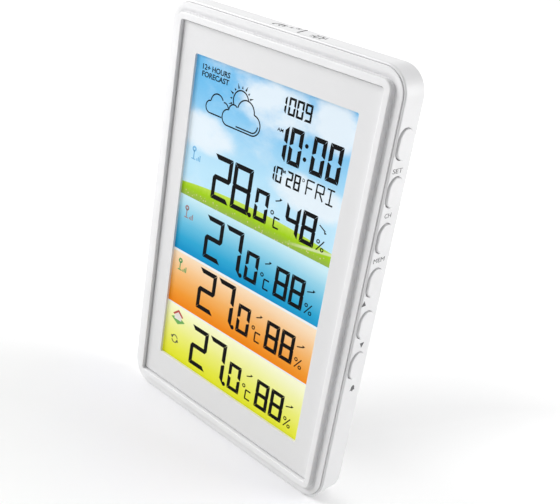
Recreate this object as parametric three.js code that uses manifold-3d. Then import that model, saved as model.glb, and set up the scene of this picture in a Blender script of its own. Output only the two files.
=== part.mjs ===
// Home weather station: a white upright console with a colour segment display.
// Millimetres, +Z up. The display faces -Y and the control keys are on the +X side.
// Every piece is drawn with Y as the depth behind the front rim; the group at the end
// moves the whole object so that its origin is the middle of its foot.
import * as THREE from 'three';
import { mergeVertices } from 'three/addons/utils/BufferGeometryUtils.js';
import ManifoldModule from 'manifold-3d';

const wasm = await ManifoldModule();
wasm.setup();

// ---- driving dimensions -------------------------------------------------------------

const GAP = 0.3; // between pieces that rest on each other
const SLACK = 0.2; // more room where a piece moves or is slipped in
const BITE = 0.5; // how far shapes that are joined enter each other
const OVERLAP = 0.1; // how far a cut runs into the hollow next to it
const WALL = 2;

// housing
const BODY_W = 135.6;
const BODY_H = 204;
const BODY_R = 12;
const REAR_EDGE = 1.2; // rounding of the rear edge
const PARTS_ROOM = 2.9; // behind the main board, for the parts on it

// front shell: raised rim, groove and lip
const RIM_INSET = 5.75;
const RIM_W = 3.2;
const RIM_R = 4.2;
const RIM_EDGE = 0.5;
const LIP_INSET = 1.15;
const LIP_FRONT = 2.3;
const LIP_T = 1.8;
const GROOVE_W = 0.8;
const GROOVE_FRONT = 3;
const WEB_T = 1.8;
const TONGUE_T = 1.6;
const TONGUE_L = 2;

// face panel and its window
const RECESS = 1.8;
const PANEL_T = 1.2;
const PANEL_R = 1.3;
const BORDER_SIDE = 10.5;
const BORDER_TOP = 13.45;
const BORDER_BOTTOM = 15.4;
const WINDOW_R = 0.8;

// display stack
const LCD_T = 1.5;
const LCD_MARGIN = 3.2;
const FILM_T = 0.3;
const GUIDE_T = 2;
const LED_STRIP_H = 1;
const LED_H = 1.2;
const LED_W = 3;
const LED_INSET = 0.2; // from the faces of the light guide
const LED_COUNT = 6;
const TRAY_WALL = 2;
const TRAY_BACK = 1;
const ZEBRA_H = 2.4;
const ZEBRA_INSET = 8; // from the edges of the main board

// boards
const BOARD_T = 1.2;
const BOARD_INSET = 4;
const BOARD_BELOW_TRAY = 1; // from the top of the tray to the top of the board
const BOARD_ABOVE_BAY = 2;
const SWITCH_BOARD_END = 8; // past the first and last key
const SWITCH_BOARD_EDGE = 0.7; // past the switches

// side keys
const KEY_COUNT = 6;
const KEY_PITCH = 20.1;
const KEY_FROM_TOP = 29.8;
const KEY_BEHIND_LIP = 0.7; // from the lip to the keys' flanges
const KEY_W = 8.7;
const KEY_H = 12.8;
const KEY_PROUD = 0.8;
const KEY_EDGE = 0.4;
const KEY_TRAVEL = 0.6;
const KEY_FLANGE_T = 1.2;
const KEY_FLANGE_END = 1.4; // past each end of the key
const KEY_FLANGE_W = 7.4;
const KEY_STEM_R = 1.5;
const KEY_STEM_L = 1.2;
const TACT_SIZE = 6;
const TACT_T = 3.5;
const TACT_PLUNGER_R = 1.7;
const TACT_PLUNGER_L = 0.8;

// batteries, their bay and its door
const BATTERY_R = 5.1;
const BATTERY_L = 44.5;
const BATTERY_COUNT = 3;
const BATTERY_EDGE = 0.4;
const BATTERY_SPACE = 1.1; // between neighbours
const NUB_R = 2.2;
const NUB_L = 1;
const CONTACT_T = 0.5;
const CONTACT_W = 8.4;
const SPRING_L = 3.3;
const SPRING_R = [3.2, 2]; // at the contact plate and at the cell
const SPRING_TURNS = 3;
const SPRING_WIRE_R = 0.35;
const BAY_WALL = 1.2;
const BAY_SIDE = 0.6;
const BAY_BACK = 0.8; // between the cells and the door
const DOOR_T = 1.6;
const DOOR_EDGE = 0.3;
const DOOR_LEDGE = 3;
const DOOR_LEDGE_T = 1.8;
const DOOR_R = 2;
const TAB_W = 6;
const TAB_X = 16;
const TAB_T = 1.1;
const TAB_L = 1.7;
const SNAP_T = 1.4;
const SNAP_L = 2;
const SNAP_FROM_TOP = 0.6;
const GRIP_COUNT = 4;
const GRIP_W = 16;
const GRIP_H = 1;
const GRIP_DEEP = 0.5;
const GRIP_PITCH = 2.4;
const GRIP_FROM_TOP = 5;
const TAB_POCKET = 1.4; // below the tabs, so that they can swing
const DIP_H = 2.5; // finger dip above the door
const DIP_DEEP = 1.3;

// hump on the back, with the bay above the folding leg
const HUMP_SLOPE = 3;
const HUMP_R = 6;
const HUMP_Z = 6;
const HUMP_SIDE = 3.5; // beyond the door, at the flat of the hump
const HUMP_WALL = 1; // at the sides and the top of the hump's flat
const HUMP_FOOT_T = 5;
const LEG_W = 44;
const LEG_T = 3.2;
const LEG_L = 49.8; // from its foot to its pins
const LEG_FOOT_Z = 12;
const LEG_TO_DOOR = 6.5;
const LEG_PIN_R = 1.2;
const LEG_PIN_L = 2.2;
const LEG_HOLDER = 2.8; // block beside the leg that takes the pins
const LEG_FLOOR_T = 1.5;
const LEG_DISH_SIDE = 7; // hollow in the back of the leg: from its sides
const LEG_DISH_FOOT = 9;
const LEG_DISH_HEAD = 8;
const LEG_DISH_R = 3;
const LEG_DISH_DEEP = 2.6;
const LEG_GRIP_W = 18; // finger dip under the leg's foot
const LEG_GRIP_H = 3.5;
const HANG_HEAD_R = 4.5;
const HANG_SLOT_W = 4.6;
const HANG_RISE = 7;
const HANG_ABOVE_DOOR = 6;
const HANG_MARGIN = 1.7; // from the slot to the end of the hump's flat

// fasteners
const SCREW_R = 1.1;
const SCREW_HEAD_R = 2.5;
const SCREW_HEAD_T = 1.5;
const SCREW_SEAT = 3.1; // how deep the heads' seats lie below the rear face
const SEAT_T = 1.5; // floor under a head
const BOSS_R = 3.3;
const REAR_BOSS_R = 3.9;
const BOSS_INSET = 8.6;
const BOSS_ROOT = 1; // from the face of the lip to where a boss starts
const PILOT_FLOOR = 0.6; // from the back of the lip to where a pilot hole starts
const SCREW_SHORT = 2; // from the back of the lip to a screw's tip
const BOARD_SCREW_R = 0.8;
const BOARD_SCREW_HEAD_R = 1.7;
const BOARD_SCREW_HEAD_T = 0.9;
const BOARD_SCREW_SHORT = 0.1; // of the face of the tray's floor
const BOARD_SCREW_INSET = 4;
const CROSS_LONG = 0.62; // the cross in a screw's head, as parts of the head's radius
const CROSS_SHORT = 0.16;
const CROSS_DEEP = 0.6;

// ribs inside the rear shell
const HOLD_DOWN_T = 1.6;
const HOLD_DOWN_INSET = 6; // from the sides of the tray
const HOLD_DOWN_ENDS = [8, 14]; // above the tray's foot and below the board
const COMB_T = 3;
const COMB_WALL = 1.6;
const COMB_FRONT = 0.6;
const CRADLE_T = 2;
const CRADLE_SIDE = 1.5;
const CRADLE_FROM_END = 4; // of the ferrite rod

// power inlet
const JACK_Z = 32;
const JACK_LENGTH = 10;
const JACK_W = 9;
const JACK_D = 7.2;
const JACK_BORE_R = 3.1;
const JACK_PIN_R = 1;
const JACK_PIN_SHORT = 0.6; // from the mouth of the bore to the pin's tip
const JACK_END_T = 1.5;
const JACK_HOLE_R = 4;

// vents and sound holes in the rear wall
const VENT_COUNT = 5;
const VENT_X = -40;
const VENT_L = 16;
const VENT_H = 1.5;
const VENT_PITCH = 3.2;
const VENT_FROM_TOP = 20;
const SOUND_HOLE_R = 0.8;
const SOUND_RING_R = 3.6;
const SOUND_RING_COUNT = 6;

// parts on the main board: places along X, and down from the board's top edge
const CHIP = { x: 4, down: 26, side: 14, t: 1.5 };
const CHIP_PINS = { count: 6, pitch: 2, w: 0.6, out: 1.2, t: 0.4 };
const CRYSTAL = { x: [16, 27], down: 27, h: 4, t: 2.2 };
const RECEIVER = { x: -28, down: 28, w: 22, h: 14, t: 0.8 };
const RECEIVER_CAN = { x: -31, w: 10, h: 9, t: 1.9 };
const AERIAL = { x: [-38, -20], down: 16, r: 0.8, turns: 6, wireR: 0.3, rise: 1.15 };
const PRESSURE = { x: -13.5, down: 27, side: 5, t: 1, capSide: 3.6, capT: 1.4 };
const HUMIDITY = { down: 8, w: 12, h: 6, t: 0.8, capSide: 4, capT: 1.9 };
const BUZZER = { x: 36, down: 26, r: 5.2, t: 1.6, capR: 3.8, capT: 2.1 };
const CAPACITOR = { x: 18, up: 7, r: 3.1, t: 7, footR: 2.7, footT: 0.4 };
const RIBBON = { w: 8, t: 0.3, onBoard: 6 };

// touch foil under the top wall, and the leaf that joins it to the board
const PAD_L = 52;
const PAD_W = 5;
const PAD_T = 0.4;
const PAD_FROM_REAR = 0.6; // to the rear wall's inside
const LEAF = { x: [0, 5], t: 0.3, onBoard: 7, reach: 2 };

// ferrite aerial of the radio clock, in the hump behind the leg
const ROD_R = 3.2;
const ROD_L = 52;
const ROD_Z = 36;
const COIL_T = 0.4;
const COIL_L = 18;
const COIL_FLANGE = 0.4;
const COIL_FLANGE_T = 0.8;

// ---- values that follow -------------------------------------------------------------

const halfW = BODY_W / 2;
const rimHalfW = halfW - RIM_INSET;
const openHalfW = rimHalfW - RIM_W;
const openBottom = RIM_INSET + RIM_W;
const openTop = BODY_H - openBottom;
const windowHalfW = openHalfW - BORDER_SIDE;
const windowBottom = openBottom + BORDER_BOTTOM;
const windowTop = openTop - BORDER_TOP;

const lcdHalfW = windowHalfW + LCD_MARGIN;
const lcdBottom = windowBottom - LCD_MARGIN;
const guideBottom = lcdBottom + LED_STRIP_H + LED_H + GAP;
const guideTop = windowTop + LCD_MARGIN;
const zebraBottom = guideTop + 2 * GAP;
const lcdTop = zebraBottom + ZEBRA_H + GAP;
const ledgeFront = RECESS + PANEL_T + GAP;
const lcdBack = ledgeFront + LCD_T;
const filmFront = lcdBack + GAP;
const guideFront = filmFront + FILM_T + GAP;
const guideBack = guideFront + GUIDE_T;
const sheetFront = guideBack + GAP;
const trayInside = sheetFront + FILM_T + GAP;
const trayBack = trayInside + TRAY_BACK;
const webBack = ledgeFront + WEB_T;
const trayFront = webBack + GAP;
const trayHalfW = lcdHalfW + GAP + TRAY_WALL;
const trayBottom = lcdBottom - GAP - TRAY_WALL;
const trayTop = lcdTop + GAP + TRAY_WALL;

const boardFront = trayBack + GAP;
const boardBack = boardFront + BOARD_T;
const boardHalfW = trayHalfW - BOARD_INSET;
const boardTop = trayTop - BOARD_BELOW_TRAY;
const onBoard = boardBack + GAP; // face that the parts on the board start from
const zebraHalfW = boardHalfW - ZEBRA_INSET;

// the side walls are as deep as the board, the keys and the power inlet need
const lipBack = LIP_FRONT + LIP_T;
const keyDepth = lipBack + KEY_BEHIND_LIP + KEY_FLANGE_W / 2;
const keySeatHalf = Math.max(KEY_FLANGE_W, TACT_SIZE + 2 * SWITCH_BOARD_EDGE) / 2 + GAP;
const jackDepth = lipBack + TONGUE_L + GAP + JACK_D / 2;
const innerBack = Math.max(
  boardBack + PARTS_ROOM,
  keyDepth + keySeatHalf,
  jackDepth + JACK_D / 2 + GAP,
);
const sideD = innerBack + WALL;
const innerHalfW = halfW - WALL;

// the hump is as deep as the cells or the leg need
const bayFloor = boardFront + BAY_WALL;
const batteryDepth = bayFloor + GAP + BATTERY_R;
const batteryPitch = 2 * BATTERY_R + BATTERY_SPACE;
const coilR = ROD_R + GAP + COIL_T;
const coilFlangeR = coilR + COIL_FLANGE;
const totalD = Math.max(
  batteryDepth + BATTERY_R + BAY_BACK + DOOR_T,
  trayBack + GAP + 2 * coilFlangeR + SLACK + LEG_FLOOR_T + LEG_T + 2 * GAP,
);
const doorFront = totalD - DOOR_T;
const tabFront = doorFront - GAP - TAB_T - SLACK;
const bayHalfW = (BATTERY_L + SPRING_L + 2 * CONTACT_T + 4 * GAP) / 2;
const bayHalfH = ((BATTERY_COUNT - 1) * batteryPitch) / 2 + BATTERY_R + BAY_SIDE;
const contactFace = bayHalfW - GAP - CONTACT_T;
const batteryPlusX = contactFace - GAP;
const legHalfW = LEG_W / 2;
const legHolderHalfW = legHalfW + GAP + LEG_HOLDER;
const legFloor = totalD - LEG_T - 2 * GAP;
const legDepth = totalD - GAP - LEG_T / 2;
const rodDepth = legFloor - LEG_FLOOR_T - SLACK - coilFlangeR;
const legPinZ = LEG_FOOT_Z + LEG_L;
const legTopZ = legPinZ + LEG_T / 2;
const doorBottom = legTopZ + GAP + LEG_TO_DOOR;
const doorTop = doorBottom + 2 * (bayHalfH + DOOR_LEDGE - GAP);
const doorHalfW = bayHalfW + DOOR_LEDGE - GAP;
const bayZ = (doorBottom + doorTop) / 2;
const humpHalfW = Math.max(
  doorHalfW + HUMP_SIDE,
  legHolderHalfW + HUMP_WALL,
  ROD_L / 2 + GAP + HUMP_WALL,
);
const hangZ = doorTop + HANG_ABOVE_DOOR;
const humpTop = hangZ + HANG_RISE + HANG_SLOT_W / 2 + HANG_MARGIN;
const boardBottom = bayZ + bayHalfH + BAY_WALL + BOARD_ABOVE_BAY;
const screwSeat = sideD - SCREW_SEAT;
const bossEnd = screwSeat - SEAT_T - GAP;

const keyZ = (i) => BODY_H - KEY_FROM_TOP - i * KEY_PITCH;
const switchBoardZ = [keyZ(KEY_COUNT - 1) - SWITCH_BOARD_END, keyZ(0) + SWITCH_BOARD_END];
const keyBand = [switchBoardZ[0] - 1, switchBoardZ[1] + 1]; // where the tongue leaves room
const flangeFace = innerHalfW - GAP;
const stemEnd = flangeFace - KEY_FLANGE_T - KEY_STEM_L;
const tactFace = stemEnd - KEY_TRAVEL - SLACK - TACT_PLUNGER_L;
const switchBoardFace = tactFace - TACT_T - GAP;
const switchBoardDepth = [webBack + GAP, keyDepth + TACT_SIZE / 2 + SWITCH_BOARD_EDGE];
const keyFlangeH = KEY_H + 2 * KEY_FLANGE_END;

const jackFace = -innerHalfW + GAP;
const padTop = BODY_H - WALL - GAP;
const padBack = innerBack - PAD_FROM_REAR;
const buzzerZ = boardTop - BUZZER.down;
const rodHoldX = ROD_L / 2 - CRADLE_FROM_END;

const corners = [[-1, 0], [1, 0], [-1, 1], [1, 1]].map(([side, upper]) => ({
  x: side * (halfW - BOSS_INSET),
  z: upper ? BODY_H - BOSS_INSET : BOSS_INSET,
}));
const boardScrews = [[-1, 0], [1, 0], [-1, 1], [1, 1]].map(([side, upper]) => ({
  x: side * (boardHalfW - BOARD_SCREW_INSET),
  z: upper ? boardTop - BOARD_SCREW_INSET : boardBottom + BOARD_SCREW_INSET,
}));

// ---- materials ----------------------------------------------------------------------

const finish = (color, roughness, metalness = 0) =>
  new THREE.MeshStandardMaterial({ color, roughness, metalness });
const whitePlastic = finish(0xf2f2f2, 0.3);
const keyPlastic = finish(0xefefef, 0.35);
const facePlastic = finish(0xdfdfdf, 0.55);
const displayGlass = finish(0xbfe0f2, 0.1);
const colourFilm = finish(0x9fd0ee, 0.5);
const clearPlastic = finish(0xf4f8fa, 0.15);
const sheetPlastic = finish(0xffffff, 0.6);
const framePlastic = finish(0xe8e8e4, 0.6);
const boardGreen = finish(0x1f6b3a, 0.5);
const blackPlastic = finish(0x1c1c1e, 0.5);
const rubber = finish(0x4a4a4c, 0.9);
const tinned = finish(0xc8cacc, 0.3, 1);
const steel = finish(0xb5b8bc, 0.35, 1);
const copper = finish(0xc27a4a, 0.4, 1);
const ferrite = finish(0x3a3a3c, 0.7);
const cellSleeve = finish(0x3c6f8f, 0.4);
const ribbonGrey = finish(0xb9bcc0, 0.6);

// ---- solids -------------------------------------------------------------------------

const ROUND = 14; // sides of a small cylinder
const CORNER = 5; // steps in a rounded corner

function solid(geometry) {
  const bare = geometry.index ? geometry.toNonIndexed() : geometry.clone();
  bare.deleteAttribute('normal');
  bare.deleteAttribute('uv');
  const merged = mergeVertices(bare, 1e-4);
  const mesh = new wasm.Mesh({
    numProp: 3,
    vertProperties: new Float32Array(merged.attributes.position.array),
    triVerts: new Uint32Array(merged.index.array),
  });
  return new wasm.Manifold(mesh);
}

function toGeometry(manifold) {
  const mesh = manifold.getMesh();
  const geometry = new THREE.BufferGeometry();
  geometry.setAttribute('position', new THREE.BufferAttribute(mesh.vertProperties, 3));
  geometry.setIndex(new THREE.BufferAttribute(mesh.triVerts, 1));
  geometry.computeVertexNormals();
  return geometry;
}

const join = (...parts) => parts.reduce((whole, part) => whole.add(part));
const cut = (whole, ...parts) => parts.reduce((rest, part) => rest.subtract(part), whole);

function box([x0, x1], [y0, y1], [z0, z1]) {
  const geometry = new THREE.BoxGeometry(x1 - x0, y1 - y0, z1 - z0);
  return solid(geometry.translate((x0 + x1) / 2, (y0 + y1) / 2, (z0 + z1) / 2));
}

// a rounded rectangle drawn in X and Z
function frameShape([x0, x1], [z0, z1], r) {
  const shape = new THREE.Shape();
  shape.absarc(x1 - r, z1 - r, r, 0, Math.PI / 2);
  shape.absarc(x0 + r, z1 - r, r, Math.PI / 2, Math.PI);
  shape.absarc(x0 + r, z0 + r, r, Math.PI, 1.5 * Math.PI);
  shape.absarc(x1 - r, z0 + r, r, 1.5 * Math.PI, 2 * Math.PI);
  return shape;
}

// the body's outline moved in by an inset
const outline = (inset, r) =>
  frameShape([inset - halfW, halfW - inset], [inset, BODY_H - inset], r);

// a shape in X and Z given a thickness along Y; the edge rounds both rims
function plate(shape, [y0, y1], edge = 0, edgeSteps = 1) {
  const geometry = new THREE.ExtrudeGeometry(shape, {
    depth: y1 - y0 - 2 * edge,
    bevelEnabled: edge > 0,
    bevelThickness: edge,
    bevelSize: edge,
    bevelOffset: -edge,
    bevelSegments: edgeSteps,
    curveSegments: CORNER,
  });
  return solid(geometry.translate(0, 0, edge).rotateX(Math.PI / 2).translate(0, y1, 0));
}

function rodX(radius, [x0, x1], y, z, sides = ROUND) {
  const geometry = new THREE.CylinderGeometry(radius, radius, x1 - x0, sides);
  return solid(geometry.rotateZ(Math.PI / 2).translate((x0 + x1) / 2, y, z));
}

function rodY(radius, [y0, y1], x, z, sides = ROUND) {
  const geometry = new THREE.CylinderGeometry(radius, radius, y1 - y0, sides);
  return solid(geometry.translate(x, (y0 + y1) / 2, z));
}

// a wire that follows a curve
function wire(curve, radius, steps, sides = 6) {
  const section = new THREE.Shape();
  section.absarc(0, 0, radius, 0, 2 * Math.PI);
  const geometry = new THREE.ExtrudeGeometry(section, {
    extrudePath: curve,
    steps,
    curveSegments: sides / 2,
  });
  return solid(geometry);
}

// a coil along X from x0 to x1 that narrows from one radius to the other
class CoilX extends THREE.Curve {
  constructor([x0, x1], [r0, r1], turns, y, z) {
    super();
    Object.assign(this, { x0, x1, r0, r1, turns, y, z });
  }

  getPoint(t, target = new THREE.Vector3()) {
    const angle = 2 * Math.PI * this.turns * t;
    const r = THREE.MathUtils.lerp(this.r0, this.r1, t);
    const x = THREE.MathUtils.lerp(this.x0, this.x1, t);
    return target.set(x, this.y + r * Math.cos(angle), this.z + r * Math.sin(angle));
  }
}

// ---- front shell --------------------------------------------------------------------

function frontBezel() {
  const rimOutline = outline(RIM_INSET, RIM_R);
  const grooveBlank = plate(outline(RIM_INSET - GROOVE_W, RIM_R + GROOVE_W), [0, GROOVE_FRONT]);
  const rimBlank = plate(rimOutline, [0, webBack], RIM_EDGE);
  const lip = plate(outline(LIP_INSET, BODY_R - LIP_INSET), [LIP_FRONT, lipBack], RIM_EDGE);
  const web = plate(outline(RIM_INSET, RIM_R), [LIP_FRONT + BITE, webBack]);

  const tongueInset = WALL + GAP;
  const tongueRing = cut(
    plate(outline(tongueInset, BODY_R - tongueInset), [lipBack - BITE, lipBack + TONGUE_L]),
    plate(
      outline(tongueInset + TONGUE_T, BODY_R - tongueInset - TONGUE_T),
      [lipBack - 1, lipBack + TONGUE_L + 1],
    ),
    box([0, halfW], [lipBack, sideD], keyBand),
  );
  const bosses = corners.map(({ x, z }) => rodY(BOSS_R, [LIP_FRONT + BOSS_ROOT, bossEnd], x, z));
  const pilots = corners.map(({ x, z }) =>
    rodY(SCREW_R + GAP, [lipBack + PILOT_FLOOR, sideD], x, z));

  const recess = plate(
    frameShape([-openHalfW, openHalfW], [openBottom, openTop], PANEL_R),
    [-1, ledgeFront],
  );
  const lcdOpening = box(
    [-lcdHalfW - GAP, lcdHalfW + GAP],
    [RECESS, webBack + 1],
    [lcdBottom - GAP, lcdTop + GAP],
  );
  const raised = join(cut(lip, cut(grooveBlank, rimBlank)), rimBlank, web, tongueRing, ...bosses);
  return cut(raised, recess, lcdOpening, ...pilots);
}

// ---- rear shell ---------------------------------------------------------------------

// turns a shape drawn as depth and height, thickened along +X
const toSide = new THREE.Matrix4().makeBasis(
  new THREE.Vector3(0, 1, 0),
  new THREE.Vector3(0, 0, 1),
  new THREE.Vector3(1, 0, 0),
);

// an upright pill on the side wall, between two places along X
function pill(width, height, [x0, x1], z, edge = 0) {
  const shape = new THREE.Shape();
  const straight = (height - width) / 2;
  shape.absarc(0, straight, width / 2, 0, Math.PI);
  shape.absarc(0, -straight, width / 2, Math.PI, 2 * Math.PI);
  const geometry = new THREE.ExtrudeGeometry(shape, {
    depth: x1 - x0 - 2 * edge,
    bevelEnabled: edge > 0,
    bevelThickness: edge,
    bevelSize: edge,
    bevelOffset: -edge,
    bevelSegments: 1,
    curveSegments: 6,
  });
  geometry.translate(0, 0, edge).applyMatrix4(toSide);
  return solid(geometry.translate(x0, keyDepth, z));
}

function humpBlank() {
  const rise = totalD - sideD;
  const base = frameShape(
    [-humpHalfW - HUMP_SLOPE, humpHalfW + HUMP_SLOPE],
    [HUMP_Z, humpTop + HUMP_SLOPE],
    HUMP_R + HUMP_SLOPE,
  );
  const geometry = new THREE.ExtrudeGeometry(base, {
    depth: 1,
    bevelThickness: rise,
    bevelSize: HUMP_SLOPE,
    bevelOffset: -HUMP_SLOPE,
    bevelSegments: 2,
    curveSegments: CORNER,
  });
  const bulge = solid(geometry.rotateX(Math.PI / 2).translate(0, sideD, 0));
  return bulge.intersect(box([-halfW, halfW], [sideD - BITE, totalD], [0, BODY_H]));
}

function rearShellBlank() {
  const seam = LIP_FRONT + RIM_EDGE;
  const shell = plate(outline(0, BODY_R), [seam, sideD], REAR_EDGE, 2);
  const front = plate(outline(0, BODY_R), [seam, sideD - REAR_EDGE], RIM_EDGE);
  const inside = plate(outline(WALL, BODY_R - WALL), [0, innerBack]);
  const rebate = plate(
    outline(LIP_INSET - GAP, BODY_R - LIP_INSET + GAP),
    [0, lipBack + GAP],
  );
  const humpInside = plate(
    frameShape(
      [-humpHalfW + HUMP_WALL, humpHalfW - HUMP_WALL],
      [HUMP_Z + HUMP_FOOT_T, humpTop - HUMP_WALL],
      HUMP_R - HUMP_WALL,
    ),
    [innerBack - 1, totalD - WALL],
  );
  return cut(join(shell, front, humpBlank()), inside, rebate, humpInside);
}

function batteryBay() {
  const collarEdge = GAP + BAY_WALL;
  const bayH = [bayZ - bayHalfH, bayZ + bayHalfH];
  const wall = BAY_WALL;
  const walls = box(
    [-bayHalfW - wall, bayHalfW + wall],
    [bayFloor - wall, doorFront],
    [bayH[0] - wall, bayH[1] + wall],
  );
  const collar = box(
    [-doorHalfW - collarEdge, doorHalfW + collarEdge],
    [doorFront - GAP - DOOR_LEDGE_T, doorFront + BITE],
    [doorBottom - collarEdge, doorTop + collarEdge],
  );
  const inside = box([-bayHalfW, bayHalfW], [bayFloor, totalD + 1], bayH);
  const doorSeat = plate(
    frameShape(
      [-doorHalfW - GAP, doorHalfW + GAP],
      [doorBottom - GAP, doorTop + GAP],
      DOOR_R + GAP,
    ),
    [doorFront - GAP, totalD + 1],
  );
  const tabPockets = [-TAB_X, TAB_X].map((x) => box(
    [x - TAB_W / 2 - GAP, x + TAB_W / 2 + GAP],
    [tabFront - TAB_POCKET, doorFront - GAP],
    [doorBottom - TAB_L - 2, bayH[0] + OVERLAP],
  ));
  const catchPocket = box(
    [-TAB_W - GAP, TAB_W + GAP],
    [doorFront - SNAP_L - 2 * GAP, doorFront],
    [bayH[1] - OVERLAP, doorTop + GAP],
  );
  const fingerDip = box([-TAB_W, TAB_W], [totalD - DIP_DEEP, totalD + 1], [doorTop, doorTop + DIP_H]);
  return {
    walls: join(walls, collar),
    hollows: [inside, doorSeat, ...tabPockets, catchPocket, fingerDip],
  };
}

function legRecess() {
  const topZ = legTopZ + GAP;
  const walls = box(
    [-legHolderHalfW, legHolderHalfW],
    [legFloor - LEG_FLOOR_T, totalD - 1],
    [HUMP_Z + HUMP_FOOT_T - 1, topZ + LEG_FLOOR_T],
  );
  const recess = box(
    [-legHalfW - GAP, legHalfW + GAP],
    [legFloor, totalD + 1],
    [LEG_FOOT_Z - GAP, topZ],
  );
  const pinHoles = [-1, 1].map((side) => rodX(
    LEG_PIN_R + GAP,
    [legHalfW, legHalfW + GAP + LEG_PIN_L + GAP].map((x) => side * x).sort((a, b) => a - b),
    legDepth,
    legPinZ,
  ));
  const fingerDip = box(
    [-LEG_GRIP_W / 2, LEG_GRIP_W / 2],
    [legFloor + 1, totalD + 1],
    [LEG_FOOT_Z - LEG_GRIP_H, LEG_FOOT_Z],
  );
  return { walls, hollows: [recess, ...pinHoles, fingerDip] };
}

// ribs inside the rear shell that hold the loose pieces against the front
function innerRibs() {
  const ribFront = trayBack + GAP;
  const holdDownZ = [trayBottom + HOLD_DOWN_ENDS[0], boardBottom - HOLD_DOWN_ENDS[1]];
  const holdDowns = [-1, 1].map((side) => {
    const x = side * (trayHalfW - HOLD_DOWN_INSET);
    return box([x - HOLD_DOWN_T / 2, x + HOLD_DOWN_T / 2], [ribFront, innerBack + BITE], holdDownZ);
  });
  const combs = [0, KEY_COUNT - 2].map((i) => {
    const z = keyZ(i) - KEY_PITCH / 2;
    const block = box(
      [switchBoardFace - BOARD_T - COMB_WALL, switchBoardFace + GAP + COMB_WALL],
      [boardFront + COMB_FRONT, innerBack + BITE],
      [z - COMB_T / 2, z + COMB_T / 2],
    );
    return cut(block, box(
      [switchBoardFace - BOARD_T - GAP, switchBoardFace + GAP],
      [0, switchBoardDepth[1] + GAP],
      [z - COMB_T, z + COMB_T],
    ));
  });
  const cradleHalfH = ROD_R + CRADLE_SIDE;
  const cradles = [-1, 1].map((side) => {
    const x = side * rodHoldX;
    const block = box(
      [x - CRADLE_T / 2, x + CRADLE_T / 2],
      [rodDepth, legFloor - 1],
      [ROD_Z - cradleHalfH, ROD_Z + cradleHalfH],
    );
    return cut(block, rodX(ROD_R + GAP, [x - CRADLE_T, x + CRADLE_T], rodDepth, ROD_Z));
  });
  return [...holdDowns, ...combs, ...cradles];
}

function rearCover() {
  const bay = batteryBay();
  const leg = legRecess();
  const bosses = corners.map(({ x, z }) =>
    rodY(REAR_BOSS_R, [bossEnd + GAP, innerBack + BITE], x, z));
  const heads = corners.map(({ x, z }) =>
    rodY(SCREW_HEAD_R + GAP, [screwSeat, sideD + 1], x, z));
  const shanks = corners.map(({ x, z }) => rodY(SCREW_R + GAP, [bossEnd, sideD], x, z));
  const keySlots = Array.from({ length: KEY_COUNT }, (_, i) =>
    pill(KEY_W + 2 * GAP, KEY_H + 2 * GAP, [innerHalfW - 1, halfW + 1], keyZ(i)));
  const vents = Array.from({ length: VENT_COUNT }, (_, i) => {
    const z = BODY_H - VENT_FROM_TOP - i * VENT_PITCH;
    return box([VENT_X, VENT_X + VENT_L], [innerBack - 1, sideD + 1], [z, z + VENT_H]);
  });
  const soundHole = (x, z) => rodY(SOUND_HOLE_R, [innerBack - 1, sideD + 1], x, z, 8);
  const soundRing = Array.from({ length: SOUND_RING_COUNT }, (_, i) => {
    const angle = (2 * Math.PI * i) / SOUND_RING_COUNT;
    const x = BUZZER.x + SOUND_RING_R * Math.cos(angle);
    return soundHole(x, buzzerZ + SOUND_RING_R * Math.sin(angle));
  });
  const hangDepth = [sideD, totalD + 1];
  const hangHole = join(
    rodY(HANG_HEAD_R, hangDepth, 0, hangZ, 20),
    rodY(HANG_SLOT_W / 2, hangDepth, 0, hangZ + HANG_RISE),
    box([-HANG_SLOT_W / 2, HANG_SLOT_W / 2], hangDepth, [hangZ, hangZ + HANG_RISE]),
  );
  const jackHole = rodX(JACK_HOLE_R, [-halfW - 1, -innerHalfW + 1], jackDepth, JACK_Z, 16);
  const filled = join(rearShellBlank(), bay.walls, leg.walls, ...innerRibs(), ...bosses);
  return cut(
    filled,
    ...bay.hollows,
    ...leg.hollows,
    ...heads,
    ...shanks,
    ...keySlots,
    ...vents,
    soundHole(BUZZER.x, buzzerZ),
    ...soundRing,
    hangHole,
    jackHole,
  );
}

// ---- display ------------------------------------------------------------------------

function facePanel() {
  const edge = GAP;
  const sheet = plate(
    frameShape([-openHalfW + edge, openHalfW - edge], [openBottom + edge, openTop - edge], PANEL_R),
    [RECESS, RECESS + PANEL_T],
  );
  const opening = plate(
    frameShape([-windowHalfW, windowHalfW], [windowBottom, windowTop], WINDOW_R),
    [RECESS - 1, RECESS + PANEL_T + 1],
  );
  return cut(sheet, opening);
}

const sheetBox = (y0, t, z0, z1) => box([-lcdHalfW, lcdHalfW], [y0, y0 + t], [z0, z1]);
const lcdGlass = () => sheetBox(ledgeFront, LCD_T, lcdBottom, lcdTop);
const colourSheet = () => sheetBox(filmFront, FILM_T, lcdBottom, guideTop);
const lightGuide = () => sheetBox(guideFront, GUIDE_T, guideBottom, guideTop);
const reflectorSheet = () => sheetBox(sheetFront, FILM_T, lcdBottom, guideTop);

function ledStrip() {
  const strip = box(
    [-lcdHalfW, lcdHalfW],
    [guideFront, guideBack],
    [lcdBottom, lcdBottom + LED_STRIP_H],
  );
  const pitch = (2 * lcdHalfW) / LED_COUNT;
  const lamps = Array.from({ length: LED_COUNT }, (_, i) => {
    const x = (i + 0.5) * pitch - lcdHalfW;
    return box(
      [x - LED_W / 2, x + LED_W / 2],
      [guideFront + LED_INSET, guideBack - LED_INSET],
      [lcdBottom + LED_STRIP_H - OVERLAP, lcdBottom + LED_STRIP_H + LED_H],
    );
  });
  return join(strip, ...lamps);
}

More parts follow.
